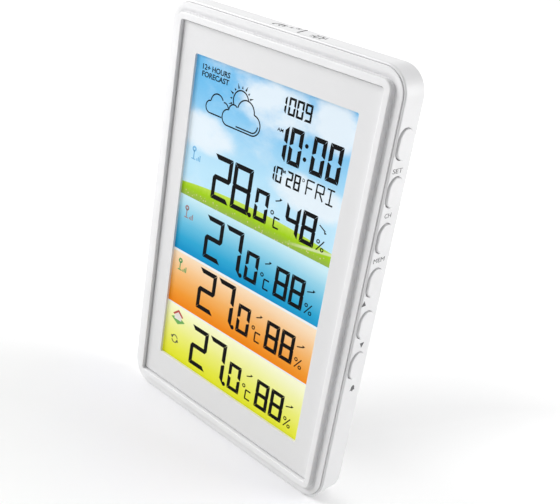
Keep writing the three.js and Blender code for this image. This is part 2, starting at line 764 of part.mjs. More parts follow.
function backlightFrame() {
  const outer = box([-trayHalfW, trayHalfW], [trayFront, trayBack], [trayBottom, trayTop]);
  const inner = box(
    [-trayHalfW + TRAY_WALL, trayHalfW - TRAY_WALL],
    [0, trayInside],
    [trayBottom + TRAY_WALL, trayTop - TRAY_WALL],
  );
  const zebraSlot = box(
    [-zebraHalfW - GAP, zebraHalfW + GAP],
    [0, trayBack + 1],
    [zebraBottom - GAP, zebraBottom + ZEBRA_H + GAP],
  );
  const jackRoom = box(
    [-halfW, jackFace + JACK_LENGTH + GAP],
    [jackDepth - JACK_D / 2 - GAP, trayBack + 1],
    [JACK_Z - JACK_W / 2 - GAP, JACK_Z + JACK_W / 2 + GAP],
  );
  const screwHoles = boardScrews.map(({ x, z }) =>
    rodY(BOARD_SCREW_R + GAP, [trayInside - 1, trayBack + 1], x, z));
  return cut(outer, inner, zebraSlot, jackRoom, ...screwHoles);
}

const zebraStrip = () => box(
  [-zebraHalfW, zebraHalfW],
  [lcdBack + GAP, boardFront - GAP],
  [zebraBottom, zebraBottom + ZEBRA_H],
);

// ---- boards and what is on them -----------------------------------------------------

function mainBoard() {
  const board = box([-boardHalfW, boardHalfW], [boardFront, boardBack], [boardBottom, boardTop]);
  const holes = boardScrews.map(({ x, z }) =>
    rodY(BOARD_SCREW_R + GAP, [boardFront - 1, boardBack + 1], x, z));
  return cut(board, ...holes);
}

// a flat part on the back of the main board, by its middle
const chip = (x, z, w, h, t) =>
  box([x - w / 2, x + w / 2], [onBoard, onBoard + t], [z - h / 2, z + h / 2]);

function controllerChip() {
  const { x, side } = CHIP;
  const z = boardTop - CHIP.down;
  const reach = side + 2 * CHIP_PINS.out;
  const places = Array.from({ length: CHIP_PINS.count }, (_, i) =>
    (i - (CHIP_PINS.count - 1) / 2) * CHIP_PINS.pitch);
  const pins = places.flatMap((step) => [
    chip(x + step, z, CHIP_PINS.w, reach, CHIP_PINS.t),
    chip(x, z + step, reach, CHIP_PINS.w, CHIP_PINS.t),
  ]);
  return join(chip(x, z, side, side, CHIP.t), ...pins);
}

function crystalCan() {
  const z = boardTop - CRYSTAL.down;
  const half = CRYSTAL.h / 2;
  const can = frameShape(CRYSTAL.x, [z - half, z + half], half - OVERLAP);
  return plate(can, [onBoard, onBoard + CRYSTAL.t]);
}

function receiverModule() {
  const z = boardTop - RECEIVER.down;
  return join(
    chip(RECEIVER.x, z, RECEIVER.w, RECEIVER.h, RECEIVER.t),
    chip(RECEIVER_CAN.x, z, RECEIVER_CAN.w, RECEIVER_CAN.h, RECEIVER_CAN.t),
  );
}

// coiled aerial beside the receiver, along X
function receiverAntenna() {
  const { x, down, r, turns, wireR, rise } = AERIAL;
  return wire(new CoilX(x, [r, r], turns, onBoard + rise, boardTop - down), wireR, 48, 4);
}

function pressureSensor() {
  const { x, down, side, t, capSide, capT } = PRESSURE;
  return join(
    chip(x, boardTop - down, side, side, t),
    chip(x, boardTop - down, capSide, capSide, capT),
  );
}

// stands right behind the vents
function humiditySensor() {
  const { down, w, h, t, capSide, capT } = HUMIDITY;
  const x = VENT_X + VENT_L / 2;
  return join(
    chip(x, boardTop - down, w, h, t),
    chip(x, boardTop - down, capSide, capSide, capT),
  );
}

const buzzer = () => join(
  rodY(BUZZER.r, [onBoard, onBoard + BUZZER.t], BUZZER.x, buzzerZ, 18),
  rodY(BUZZER.capR, [onBoard + BUZZER.t - BITE, onBoard + BUZZER.capT], BUZZER.x, buzzerZ, 18),
);

// smoothing capacitor in the room under the hump
function capacitor() {
  const { x, up, r, t, footR, footT } = CAPACITOR;
  return join(
    rodY(r, [onBoard + footT, onBoard + t], x, boardBottom + up, 16),
    rodY(footR, [onBoard, onBoard + footT + BITE], x, boardBottom + up, 16),
  );
}

const rodAlong = (radius, halfL, side = 16) => rodX(radius, [-halfL, halfL], rodDepth, ROD_Z, side);
const ferriteRod = () => rodAlong(ROD_R, ROD_L / 2);
const antennaCoil = () => cut(
  join(
    rodAlong(coilR, COIL_L / 2),
    cut(
      rodAlong(coilFlangeR, COIL_L / 2 + COIL_FLANGE_T),
      rodAlong(coilFlangeR + 1, COIL_L / 2),
    ),
  ),
  rodAlong(ROD_R + GAP, ROD_L),
);

const switchBoard = () =>
  box([switchBoardFace - BOARD_T, switchBoardFace], switchBoardDepth, switchBoardZ);

function tactSwitch(i) {
  const half = TACT_SIZE / 2;
  const body = box(
    [tactFace - TACT_T, tactFace],
    [keyDepth - half, keyDepth + half],
    [keyZ(i) - half, keyZ(i) + half],
  );
  const plungerX = [tactFace - BITE, tactFace + TACT_PLUNGER_L];
  return join(body, rodX(TACT_PLUNGER_R, plungerX, keyDepth, keyZ(i), 10));
}

function sideKey(i) {
  const z = keyZ(i);
  const cap = pill(KEY_W, KEY_H, [flangeFace - BITE - OVERLAP, halfW + KEY_PROUD], z, KEY_EDGE);
  const flange = box(
    [flangeFace - KEY_FLANGE_T, flangeFace],
    [keyDepth - KEY_FLANGE_W / 2, keyDepth + KEY_FLANGE_W / 2],
    [z - keyFlangeH / 2, z + keyFlangeH / 2],
  );
  const stem = rodX(KEY_STEM_R, [stemEnd, flangeFace - BITE], keyDepth, z, 10);
  return join(cap, flange, stem);
}

// flat cable from the main board to the switch board
function ribbonCable() {
  const { w, t } = RIBBON;
  const y1 = onBoard + t;
  const x1 = switchBoardFace - BOARD_T - GAP;
  const z = [keyZ(1) - w / 2, keyZ(1) + w / 2];
  return join(
    box([boardHalfW - RIBBON.onBoard, x1], [onBoard, y1], z),
    box([x1 - t, x1], [keyDepth - 1, y1], z),
  );
}

const touchPad = () =>
  box([-PAD_L / 2, PAD_L / 2], [padBack - PAD_W, padBack], [padTop - PAD_T, padTop]);

function touchLeaf() {
  const { x, t, reach } = LEAF;
  const top = padTop - PAD_T - GAP;
  return join(
    box(x, [onBoard, onBoard + t], [boardTop - LEAF.onBoard, top]),
    box(x, [onBoard - reach, onBoard + t], [top - t, top]),
  );
}

// ---- power inlet --------------------------------------------------------------------

function powerInlet() {
  const back = jackFace + JACK_LENGTH;
  const body = box(
    [jackFace, back],
    [jackDepth - JACK_D / 2, jackDepth + JACK_D / 2],
    [JACK_Z - JACK_W / 2, JACK_Z + JACK_W / 2],
  );
  const bore = rodX(JACK_BORE_R, [jackFace - 1, back - JACK_END_T], jackDepth, JACK_Z, 16);
  const pin = rodX(
    JACK_PIN_R,
    [jackFace + JACK_PIN_SHORT, back - JACK_END_T + BITE],
    jackDepth,
    JACK_Z,
    10,
  );
  return join(cut(body, bore), pin);
}

// ---- batteries, contacts, door and leg ----------------------------------------------

const rowZ = (i) => bayZ + ((BATTERY_COUNT - 1) / 2 - i) * batteryPitch;
const plusSide = (i) => (i % 2 === 0 ? 1 : -1);

function battery(i) {
  const minus = batteryPlusX - BATTERY_L;
  const shoulder = batteryPlusX - NUB_L;
  const points = [
    [0, minus],
    [BATTERY_R - BATTERY_EDGE, minus],
    [BATTERY_R, minus + BATTERY_EDGE],
    [BATTERY_R, shoulder - BATTERY_EDGE],
    [BATTERY_R - BATTERY_EDGE, shoulder],
    [NUB_R, shoulder],
    [NUB_R, batteryPlusX],
    [0, batteryPlusX],
  ].map(([r, along]) => new THREE.Vector2(r, along));
  const geometry = new THREE.LatheGeometry(points, 18);
  geometry.rotateZ((-plusSide(i) * Math.PI) / 2);
  return solid(geometry.translate(0, batteryDepth, rowZ(i)));
}

// a contact plate at one end of the bay, over the rows it serves
function contactPlate(side, rows) {
  const x = [contactFace, contactFace + CONTACT_T].map((value) => side * value);
  const z = rows.map(rowZ);
  return box(
    x.sort((a, b) => a - b),
    [batteryDepth - CONTACT_W / 2, batteryDepth + CONTACT_W / 2],
    [Math.min(...z) - CONTACT_W / 2, Math.max(...z) + CONTACT_W / 2],
  );
}

function contactSpring(row) {
  const side = -plusSide(row);
  const from = side * (contactFace + CONTACT_T / 2);
  const to = side * (contactFace - SPRING_L + SPRING_WIRE_R);
  const coil = new CoilX([from, to], SPRING_R, SPRING_TURNS, batteryDepth, rowZ(row));
  return wire(coil, SPRING_WIRE_R, 30);
}

function batteryDoor() {
  const panel = plate(
    frameShape([-doorHalfW, doorHalfW], [doorBottom, doorTop], DOOR_R),
    [doorFront, totalD],
    DOOR_EDGE,
  );
  const neckTop = bayZ - bayHalfH - GAP;
  const tabs = [-TAB_X, TAB_X].flatMap((x) => [
    box(
      [x - TAB_W / 2, x + TAB_W / 2],
      [tabFront, doorFront + BITE],
      [doorBottom + GAP, neckTop],
    ),
    box(
      [x - TAB_W / 2, x + TAB_W / 2],
      [tabFront, tabFront + TAB_T],
      [doorBottom - TAB_L, neckTop],
    ),
  ]);
  const snapTop = doorTop - SNAP_FROM_TOP;
  const snap = box([-TAB_W, TAB_W], [doorFront - SNAP_L, doorFront + BITE], [snapTop - SNAP_T, snapTop]);
  const grips = Array.from({ length: GRIP_COUNT }, (_, i) => {
    const z = doorTop - GRIP_FROM_TOP - i * GRIP_PITCH;
    return box([-GRIP_W / 2, GRIP_W / 2], [totalD - GRIP_DEEP, totalD + 1], [z - GRIP_H, z]);
  });
  return cut(join(panel, ...tabs, snap), ...grips);
}

// folding leg, hinged at its upper end on two stub pins
function standLeg() {
  const y = [legDepth - LEG_T / 2, legDepth + LEG_T / 2];
  const blade = join(
    box([-legHalfW, legHalfW], y, [LEG_FOOT_Z, legPinZ]),
    rodX(LEG_T / 2, [-legHalfW, legHalfW], legDepth, legPinZ, 24),
    rodX(LEG_PIN_R, [-legHalfW - LEG_PIN_L, legHalfW + LEG_PIN_L], legDepth, legPinZ),
  );
  const dish = plate(
    frameShape(
      [-legHalfW + LEG_DISH_SIDE, legHalfW - LEG_DISH_SIDE],
      [LEG_FOOT_Z + LEG_DISH_FOOT, legPinZ - LEG_DISH_HEAD],
      LEG_DISH_R,
    ),
    [y[1] - LEG_DISH_DEEP, totalD],
  );
  return cut(blade, dish);
}

// ---- screws -------------------------------------------------------------------------

function crossDrive(radius, back, x, z) {
  const long = radius * CROSS_LONG;
  const short = radius * CROSS_SHORT;
  const depth = [back - CROSS_DEEP, back + 1];
  return [
    box([x - long, x + long], depth, [z - short, z + short]),
    box([x - short, x + short], depth, [z - long, z + long]),
  ];
}

function screw({ x, z }, seat, tip, shankR, headR, headT) {
  const body = join(
    rodY(headR, [seat, seat + headT], x, z),
    rodY(shankR, [tip, seat + BITE], x, z, 8),
  );
  return cut(body, ...crossDrive(headR, seat + headT, x, z));
}

const caseScrew = (place) =>
  screw(place, screwSeat + GAP, lipBack + SCREW_SHORT, SCREW_R, SCREW_HEAD_R, SCREW_HEAD_T);

function boardScrew(place) {
  const tip = trayInside + BOARD_SCREW_SHORT;
  return screw(place, onBoard, tip, BOARD_SCREW_R, BOARD_SCREW_HEAD_R, BOARD_SCREW_HEAD_T);
}

// ---- the object ---------------------------------------------------------------------

const station = new THREE.Group();
station.position.set(-KEY_PROUD / 2, -totalD / 2, 0);

function add(name, manifold, material) {
  const mesh = new THREE.Mesh(toGeometry(manifold), material.clone());
  mesh.name = name;
  station.add(mesh);
}

add('front_bezel', frontBezel(), whitePlastic);
add('rear_cover', rearCover(), whitePlastic);
add('face_panel', facePanel(), facePlastic);
add('lcd_glass', lcdGlass(), displayGlass);
add('colour_film', colourSheet(), colourFilm);
add('light_guide', lightGuide(), clearPlastic);
add('reflector_sheet', reflectorSheet(), sheetPlastic);
add('led_strip', ledStrip(), sheetPlastic);
add('backlight_frame', backlightFrame(), framePlastic);
add('zebra_strip', zebraStrip(), rubber);
add('main_board', mainBoard(), boardGreen);
add('controller_chip', controllerChip(), blackPlastic);
add('crystal_can', crystalCan(), tinned);
add('receiver_module', receiverModule(), boardGreen);
add('receiver_antenna', receiverAntenna(), copper);
add('pressure_sensor', pressureSensor(), tinned);
add('humidity_sensor', humiditySensor(), blackPlastic);
add('buzzer', buzzer(), blackPlastic);
add('capacitor', capacitor(), blackPlastic);
add('ferrite_rod', ferriteRod(), ferrite);
add('clock_antenna_coil', antennaCoil(), copper);
add('switch_board', switchBoard(), boardGreen);
add('ribbon_cable', ribbonCable(), ribbonGrey);
add('touch_pad', touchPad(), copper);
add('touch_leaf', touchLeaf(), tinned);
add('power_inlet', powerInlet(), blackPlastic);
add('battery_door', batteryDoor(), whitePlastic);
add('stand_leg', standLeg(), whitePlastic);

const keyNames = ['set', 'channel', 'memory', 'up', 'down', 'alarm'];
keyNames.forEach((name, i) => {
  add(`key_${name}`, sideKey(i), keyPlastic);
  add(`tact_switch_${name}`, tactSwitch(i), blackPlastic);
});

for (let i = 0; i < BATTERY_COUNT; i += 1) {
  add(`battery_${i + 1}`, battery(i), cellSleeve);
}
add('contact_minus', join(contactPlate(-1, [0]), contactSpring(0)), tinned);
add('contact_plus', contactPlate(1, [2]), tinned);
add('contact_bridge_left', join(contactPlate(-1, [1, 2]), contactSpring(2)), tinned);
add('contact_bridge_right', join(contactPlate(1, [0, 1]), contactSpring(1)), tinned);

corners.forEach((place, i) => add(`case_screw_${i + 1}`, caseScrew(place), steel));
boardScrews.forEach((place, i) => add(`board_screw_${i + 1}`, boardScrew(place), steel));

export default station;
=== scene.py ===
# Home weather station: the looks of a white console with a colour segment display.
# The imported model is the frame. Every piece is drawn in its coordinates, in metres.
import math
from collections import namedtuple

import bmesh
import bpy
from mathutils import Matrix, Vector


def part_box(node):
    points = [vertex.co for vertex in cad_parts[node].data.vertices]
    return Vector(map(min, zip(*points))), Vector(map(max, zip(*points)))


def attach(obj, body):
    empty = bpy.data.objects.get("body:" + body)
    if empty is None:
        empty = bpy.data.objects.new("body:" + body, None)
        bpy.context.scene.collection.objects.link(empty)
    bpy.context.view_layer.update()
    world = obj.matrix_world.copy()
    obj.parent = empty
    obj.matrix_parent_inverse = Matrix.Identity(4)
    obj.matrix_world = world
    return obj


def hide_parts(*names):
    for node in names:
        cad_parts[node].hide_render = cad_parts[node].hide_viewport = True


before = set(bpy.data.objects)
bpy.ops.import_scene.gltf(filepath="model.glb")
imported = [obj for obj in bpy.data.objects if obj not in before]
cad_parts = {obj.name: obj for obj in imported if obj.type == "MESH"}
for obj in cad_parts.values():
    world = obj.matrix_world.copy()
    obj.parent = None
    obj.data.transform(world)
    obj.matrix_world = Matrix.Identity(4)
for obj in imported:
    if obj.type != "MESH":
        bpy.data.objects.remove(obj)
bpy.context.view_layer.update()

bl_info = {
    "name": "Weather Station",
    "version": (1, 0, 0),
    "blender": (4, 5, 0),
    "location": "View3D > Sidebar > Station",
    "description": "Finishes the pieces of a home weather station around its packed model",
    "category": "Add Mesh",
}

MM = 0.001
GAP = 0.3 * MM  # between pieces that rest on each other
CORNER_STEPS = 14  # steps in a corner of a rounded rectangle
EDGE_STEPS = 4  # steps in a rounded edge
INK_T = 0.04 * MM  # thickness of a printed sign

# ---- the frame's measures ----

bezel_low, bezel_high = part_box("front_bezel")
case_low, case_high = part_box("rear_cover")
panel_low, panel_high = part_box("face_panel")
glass_low, glass_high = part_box("lcd_glass")
door_low, door_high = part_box("battery_door")
leg_low, leg_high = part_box("stand_leg")

MID_X = (case_low.x + case_high.x) / 2
RIM_Y = bezel_low.y
HALF_W = (case_high.x - case_low.x) / 2
HEIGHT = case_high.z
TOTAL_D = case_high.y - RIM_Y
TOP_Z = HEIGHT - 1.5 * INK_T  # the case is drawn this high, so its top signs stay in the box

# Drawing planes: X and Y lie on a face of the case, and Z points out of it.
# On the front Z is 0 at the rim, and on the back it is the depth behind the rim.
# Across is the middle of the case, seen from the key side.
FRONT = Matrix(((1, 0, 0, MID_X), (0, 0, -1, RIM_Y), (0, 1, 0, 0), (0, 0, 0, 1)))
BACK = Matrix(((-1, 0, 0, MID_X), (0, 0, 1, RIM_Y), (0, 1, 0, 0), (0, 0, 0, 1)))
SIDE = Matrix(((0, 0, 1, MID_X + HALF_W), (1, 0, 0, RIM_Y), (0, 1, 0, 0), (0, 0, 0, 1)))
INLET = Matrix(((0, 0, -1, MID_X - HALF_W), (-1, 0, 0, RIM_Y), (0, 1, 0, 0), (0, 0, 0, 1)))
ACROSS = Matrix(((0, 0, 1, MID_X), (1, 0, 0, RIM_Y), (0, 1, 0, 0), (0, 0, 0, 1)))
TOP = Matrix(((1, 0, 0, MID_X), (0, 1, 0, RIM_Y), (0, 0, 1, TOP_Z), (0, 0, 0, 1)))
GLASS = FRONT @ Matrix.Translation((0, 0, RIM_Y - glass_low.y))
IN_MM = Matrix.Diagonal((MM, MM, MM, 1))  # turns a drawing in millimetres to metres

KEYS = ["set", "channel", "memory", "up", "down", "alarm"]


def middle(node):
    """The middle of a frame node, with its depth behind the rim as Y."""
    low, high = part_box(node)
    return Vector(((low.x + high.x) / 2, (low.y + high.y) / 2 - RIM_Y, (low.z + high.z) / 2))


def shade(red, green, blue):
    """A colour given as it is seen, 0 to 255, turned into the light that a surface returns."""
    light = [v / 255 for v in (red, green, blue)]
    return tuple(v / 12.92 if v <= 0.04045 else ((v + 0.055) / 1.055) ** 2.4 for v in light)


# ---- sizes and colours that a user would change ----


def length(name, description, default):
    """A size, with its default in millimetres."""
    return bpy.props.FloatProperty(
        name=name, description=description, default=default * MM, unit="LENGTH", precision=5
    )


def colour(name, description, default):
    """A colour that the panel shows."""
    return bpy.props.FloatVectorProperty(
        name=name, description=description, default=default, subtype="COLOR", min=0, max=1
    )


class CaseSizes(bpy.types.PropertyGroup):
    body_r: length("Body corner", "Radius of the case's corners", 12)
    side_d: length("Side depth", "Depth of the side walls behind the rim", 16)
    wall: length("Wall", "Thickness of the rear shell", 2)
    front_edge: length("Front edge", "Rounding of the rear shell at the seam", 0.8)
    rear_edge: length("Rear edge", "Rounding of the rear edge", 1.2)
    seam_d: length("Seam depth", "Depth of the rear shell's front edge", 2.8)
    rim_inset: length("Rim inset", "From the body's outline to the raised rim", 5.75)
    rim_w: length("Rim width", "Width of the raised rim", 3.2)
    rim_r: length("Rim corner", "Radius of the rim's corners", 4.2)
    rim_edge: length("Rim edge", "Rounding of the rim", 0.6)
    lip_inset: length("Lip inset", "From the body's outline to the lip of the front shell", 1.15)
    lip_front: length("Lip depth", "Depth of the lip behind the rim", 2.3)
    lip_t: length("Lip thickness", "Thickness of the lip", 1.8)
    seam_gap: length("Seam gap", "Gap between the lip and the rear shell", 0.1)
    groove_w: length("Groove width", "Width of the groove round the rim", 0.8)
    groove_d: length("Groove depth", "Depth of the groove behind the rim", 3)
    web_t: length("Web thickness", "Thickness of the web behind the face panel", 1.8)
    tongue_t: length("Tongue thickness", "Thickness of the tongue inside the rear shell", 1.6)
    tongue_l: length("Tongue length", "Length of the tongue behind the lip", 2)
    panel_gap: length("Panel gap", "Extra gap between the face panel and the rim", 0.3)
    panel_r: length("Panel corner", "Radius of the face panel's corners", 1.3)
    window_side: length("Side border", "Width of the face panel beside the window", 10.2)
    window_top: length("Top border", "Height of the face panel above the window", 13.15)
    window_bottom: length("Bottom border", "Height of the face panel below the window", 15.1)
    window_r: length("Window corner", "Radius of the window's corners", 0.8)


class BackSizes(bpy.types.PropertyGroup):
    hump_slope: length("Hump slope", "How far the hump spreads at its foot", 3)
    hump_r: length("Hump corner", "Radius of the hump's corners", 6)
    hump_z: length("Hump bottom", "Height of the hump's lower end", 6)
    hump_side: length("Hump side", "Flat of the hump beside the door", 3.5)
    hump_top: length("Hump top", "Flat of the hump above the door", 17)
    door_t: length("Door thickness", "Thickness of the battery door", 1.6)
    door_r: length("Door corner", "Radius of the battery door's corners", 2)
    door_ledge: length("Door ledge", "Ledge round the bay that the door lies on", 3)
    tab_l: length("Tab length", "How far the door's tabs reach below it", 1.7)
    tab_w: length("Tab width", "Width of a door tab", 6)
    tab_x: length("Tab place", "From the middle to each tab", 16)
    bay_wall: length("Bay wall", "Wall of the battery bay", 1.2)
    leg_t: length("Leg thickness", "Thickness of the folding leg", 3.2)
    pin_r: length("Leg pin", "Radius of the leg's pins", 1.2)
    pin_l: length("Pin length", "Length of each of the leg's pins", 2.2)
    hang_rise: length("Hanging slot", "How far the hanging slot rises", 7)
    hang_head_r: length("Hanging hole", "Radius of the hanging hole", 4.5)
    hang_slot_w: length("Slot width", "Width of the hanging slot", 4.6)


class KeySizes(bpy.types.PropertyGroup):
    depth: length("Depth", "Depth of the keys' centre line behind the rim", 8.5)
    width: length("Width", "Width of a key", 8.7)
    height: length("Height", "Height of a key", 12.8)
    proud: length("Proud", "How far a key stands out of the wall", 0.8)
    edge: length("Edge", "Rounding of a key's face", 0.5)
    flange_w: length("Flange width", "Width of the flange inside the wall", 7.4)
    flange_h: length("Flange height", "Height of the flange inside the wall", 15.6)
    flange_t: length("Flange thickness", "Thickness of the flange", 1.2)
    stem_r: length("Stem radius", "Radius of the stem that presses the switch", 1.5)


class Finishes(bpy.types.PropertyGroup):
    shell: colour("Shell", "White plastic of the case", shade(236, 236, 237))
    key: colour("Keys", "White plastic of the keys", shade(238, 238, 239))
    face: colour("Face", "Pale grey of the face panel", shade(226, 226, 227))
    ink: colour("Ink", "Signs printed on the case", shade(84, 84, 86))
    segment: colour("Segments", "Dark segments of the display", shade(8, 8, 10))
    sky_top: colour("Sky", "Sky at the top of the display", shade(100, 186, 236))
    sky_low: colour("Low sky", "Sky above the hill", shade(190, 230, 250))
    cloud: colour("Cloud", "Clouds in the sky", shade(234, 244, 251))
    blue_low: colour("Blue band", "First band, at its lower edge", shade(0, 142, 198))
    blue_high: colour("Pale blue", "First band, at its upper edge", shade(204, 236, 246))
    orange_low: colour("Orange band", "Second band, at its lower edge", shade(238, 130, 2))
    orange_high: colour("Pale orange", "Second band, at its upper edge", shade(250, 224, 192))
    yellow_low: colour("Yellow band", "Third band, at its lower edge", shade(224, 226, 20))
    yellow_high: colour("Pale yellow", "Third band, at its upper edge", shade(248, 249, 212))


# ---- shader maths ----


class Value:
    """A number on the surface, taken from a node's output."""

    def __init__(self, shader, socket):
        self.shader = shader
        self.socket = socket

    def __add__(self, other):
        return self.shader.math("ADD", self, other)

    __radd__ = __add__

    def __sub__(self, other):
        return self.shader.math("SUBTRACT", self, other)

    def __rsub__(self, other):
        return self.shader.math("SUBTRACT", other, self)

    def __mul__(self, other):
        return self.shader.math("MULTIPLY", self, other)

    __rmul__ = __mul__

    def __truediv__(self, other):
        return self.shader.math("DIVIDE", self, other)


class Shader:
    """The nodes of a material, or of the world."""

    def __init__(self, name, world=None):
        self.material = world or bpy.data.materials.new(name)
        self.material.use_nodes = True
        self.tree = self.material.node_tree
        self.tree.nodes.clear()
        self.position = self.output("ShaderNodeTexCoord", pin="Generated" if world else "Object")

    def node(self, kind, settings=None, inputs=None):
        """Makes a node with its settings. An input is a Value to link or a constant to set."""
        made = self.tree.nodes.new(kind)
        for key, value in (settings or {}).items():
            if key == "stops":
                ramp = made.color_ramp
                while len(ramp.elements) < len(value):
                    ramp.elements.new(0.5)
                for element, (place, tone) in zip(ramp.elements, value):
                    element.position = place
                    element.color = (*tone, 1)
            else:
                setattr(made, key, value)
        for key, value in (inputs or {}).items():
            socket = made.inputs[key]
            if isinstance(value, Value):
                self.tree.links.new(value.socket, socket)
            elif isinstance(value, tuple) and len(socket.default_value) == 4:
                socket.default_value = (*value[:3], 1)
            else:
                socket.default_value = value
        return made

    def output(self, kind, settings=None, inputs=None, pin=0):
        """Makes a node and gives one of its outputs."""
        return Value(self, self.node(kind, settings, inputs).outputs[pin])

    def math(self, operation, *values):
        """Maths on one or more numbers."""
        return self.output("ShaderNodeMath", {"operation": operation}, dict(enumerate(values)))

    def axes(self):
        """The place on the object along X, Y and Z, in metres."""
        split = self.node("ShaderNodeSeparateXYZ", inputs={0: self.position})
        return [Value(self, pin) for pin in split.outputs]

    def step(self, value, low, high):
        """0 below low and 1 above high, with a smooth rise between them."""
        settings = {"interpolation_type": "SMOOTHSTEP"}
        inputs = {"Value": value, "From Min": low, "From Max": high}
        return self.output("ShaderNodeMapRange", settings, inputs)

    def stretched(self, scale=(1, 1, 1), turn=(0, 0, 0), shift=(0, 0, 0)):
        """The place on the object, scaled, turned and shifted."""
        inputs = {"Vector": self.position, "Location": shift, "Rotation": turn, "Scale": scale}
        return self.output("ShaderNodeMapping", inputs=inputs)

    def noise(self, scale, detail, roughness=0.5, vector=None):
        """Cloudy noise from 0 to 1."""
        inputs = {"Vector": vector or self.position, "Scale": scale}
        inputs |= {"Detail": detail, "Roughness": roughness}
        return self.output("ShaderNodeTexNoise", inputs=inputs)

    def voronoi(self, scale):
        """Distance to the nearest of scattered dots."""
        return self.output("ShaderNodeTexVoronoi", inputs={"Vector": self.position, "Scale": scale})

    def mix(self, factor, first, second):
        """Between two colours."""
        inputs = {0: factor, 6: first, 7: second}
        return self.output("ShaderNodeMix", {"data_type": "RGBA"}, inputs, pin=2)

    def ramp(self, value, stops):
        """Colours along a number. A stop is its place and its colour."""
        return self.output("ShaderNodeValToRGB", {"stops": stops}, {0: value})

    def bump(self, height, distance):
        """A relief whose height is given in metres."""
        return self.output("ShaderNodeBump", inputs={"Height": height, "Distance": distance})

    def surface(self, **sockets):
        """Ends the material in one Principled surface. A socket's name has _ for its spaces."""
        inputs = {key.replace("_", " "): value for key, value in sockets.items()}
        made = self.output("ShaderNodeBsdfPrincipled", inputs=inputs)
        self.node("ShaderNodeOutputMaterial", inputs={"Surface": made})
        return self.material

    def white_rays(self):
        """1 for rays that see the plain white surroundings: the camera's and mirrored ones."""
        rays = self.node("ShaderNodeLightPath").outputs
        seen, gloss, through = (
            Value(self, rays[f"Is {kind} Ray"]) for kind in ("Camera", "Glossy", "Transmission")
        )
        return self.math("MAXIMUM", seen, self.math("MAXIMUM", gloss, through))

    def chosen(self, factor, first, second):
        """The first shader, or the second one where the factor is 1."""
        return self.output("ShaderNodeMixShader", inputs={0: factor, 1: first, 2: second})


def tint(base, factor):
    """A colour made a little darker or lighter."""
    return tuple(min(1.0, c * factor) for c in base[:3])


# ---- finishes ----

MADE = {}


def once(make):
    """Each finish is made the first time that a piece asks for it."""

    def get(*arguments):
        """The finish made before with these arguments, or a new one."""
        key = (make.__name__, *arguments)
        if key not in MADE:
            MADE[key] = make(*arguments)
        return MADE[key]

    return get


@once
def moulded_plastic(name, base, roughness, grain):
    """Moulded plastic: a faint mottle, a roughness that wanders and a fine spark-eroded grain."""
    s = Shader(name)
    mottle = s.noise(60, 3)
    fine = s.noise(9000, 1)
    return s.surface(
        Base_Color=s.mix(s.step(mottle, 0.35, 0.65), tint(base, 0.985), tint(base, 1.01)),
        Roughness=roughness + 0.06 * (mottle - 0.5) + 0.04 * (fine - 0.5),
        Normal=s.bump(fine, grain),
        IOR=1.49,
    )


def finishes():
    """The colours that a user has set."""
    return bpy.context.scene.station_finishes


def shell_plastic():
    """Plastic of the case, the door and the leg."""
    return moulded_plastic("shell_plastic", tuple(finishes().shell), 0.3, 2e-6)


def key_plastic():
    """Plastic of the keys."""
    return moulded_plastic("key_plastic", tuple(finishes().key), 0.34, 1e-6)


@once
def face_lacquer():
    """Satin lacquer on the face panel, with a very fine metallic speckle."""
    s = Shader("face_lacquer")
    base = tuple(finishes().face)
    speckle = s.noise(16000, 1)
    cloudy = s.noise(35, 2)
    return s.surface(
        Base_Color=s.mix(speckle, tint(base, 0.965), tint(base, 1.03)),
        Roughness=0.42 + 0.08 * (cloudy - 0.5),
        Normal=s.bump(speckle, 1.5e-6),
        IOR=1.5,
    )


@once
def ink(name, base):
    """Pad-printed ink, a little uneven."""
    s = Shader(name)
    uneven = s.noise(2500, 2)
    return s.surface(
        Base_Color=s.mix(uneven, tint(base, 0.8), tint(base, 1.25)),
        Roughness=0.5 + 0.1 * (uneven - 0.5),
    )


@once
def segment_black():
    """Dark segments, without a sheen of their own."""
    s = Shader("segment_black")
    base = tuple(finishes().segment)
    uneven = s.noise(700, 2)
    return s.surface(
        Base_Color=s.mix(uneven, tint(base, 0.85), tint(base, 1.2)),
        Roughness=0.5 + 0.06 * (uneven - 0.5),
        Specular_IOR_Level=0.06,
    )


# Heights of the coloured bands on the display, in millimetres above the foot
BLUE = (84.0, 113.0)
ORANGE = (54.6, 82.8)
YELLOW = (23.0, 53.9)


def fade(low, high, steps=4):
    """Stops of an even fade between two colours, as it is seen."""
    seen = [[v ** (1 / 2.2) for v in tone] for tone in (low, high)]
    return [
        (step / steps, tuple((a + (b - a) * step / steps) ** 2.2 for a, b in zip(*seen)))
        for step in range(steps + 1)
    ]


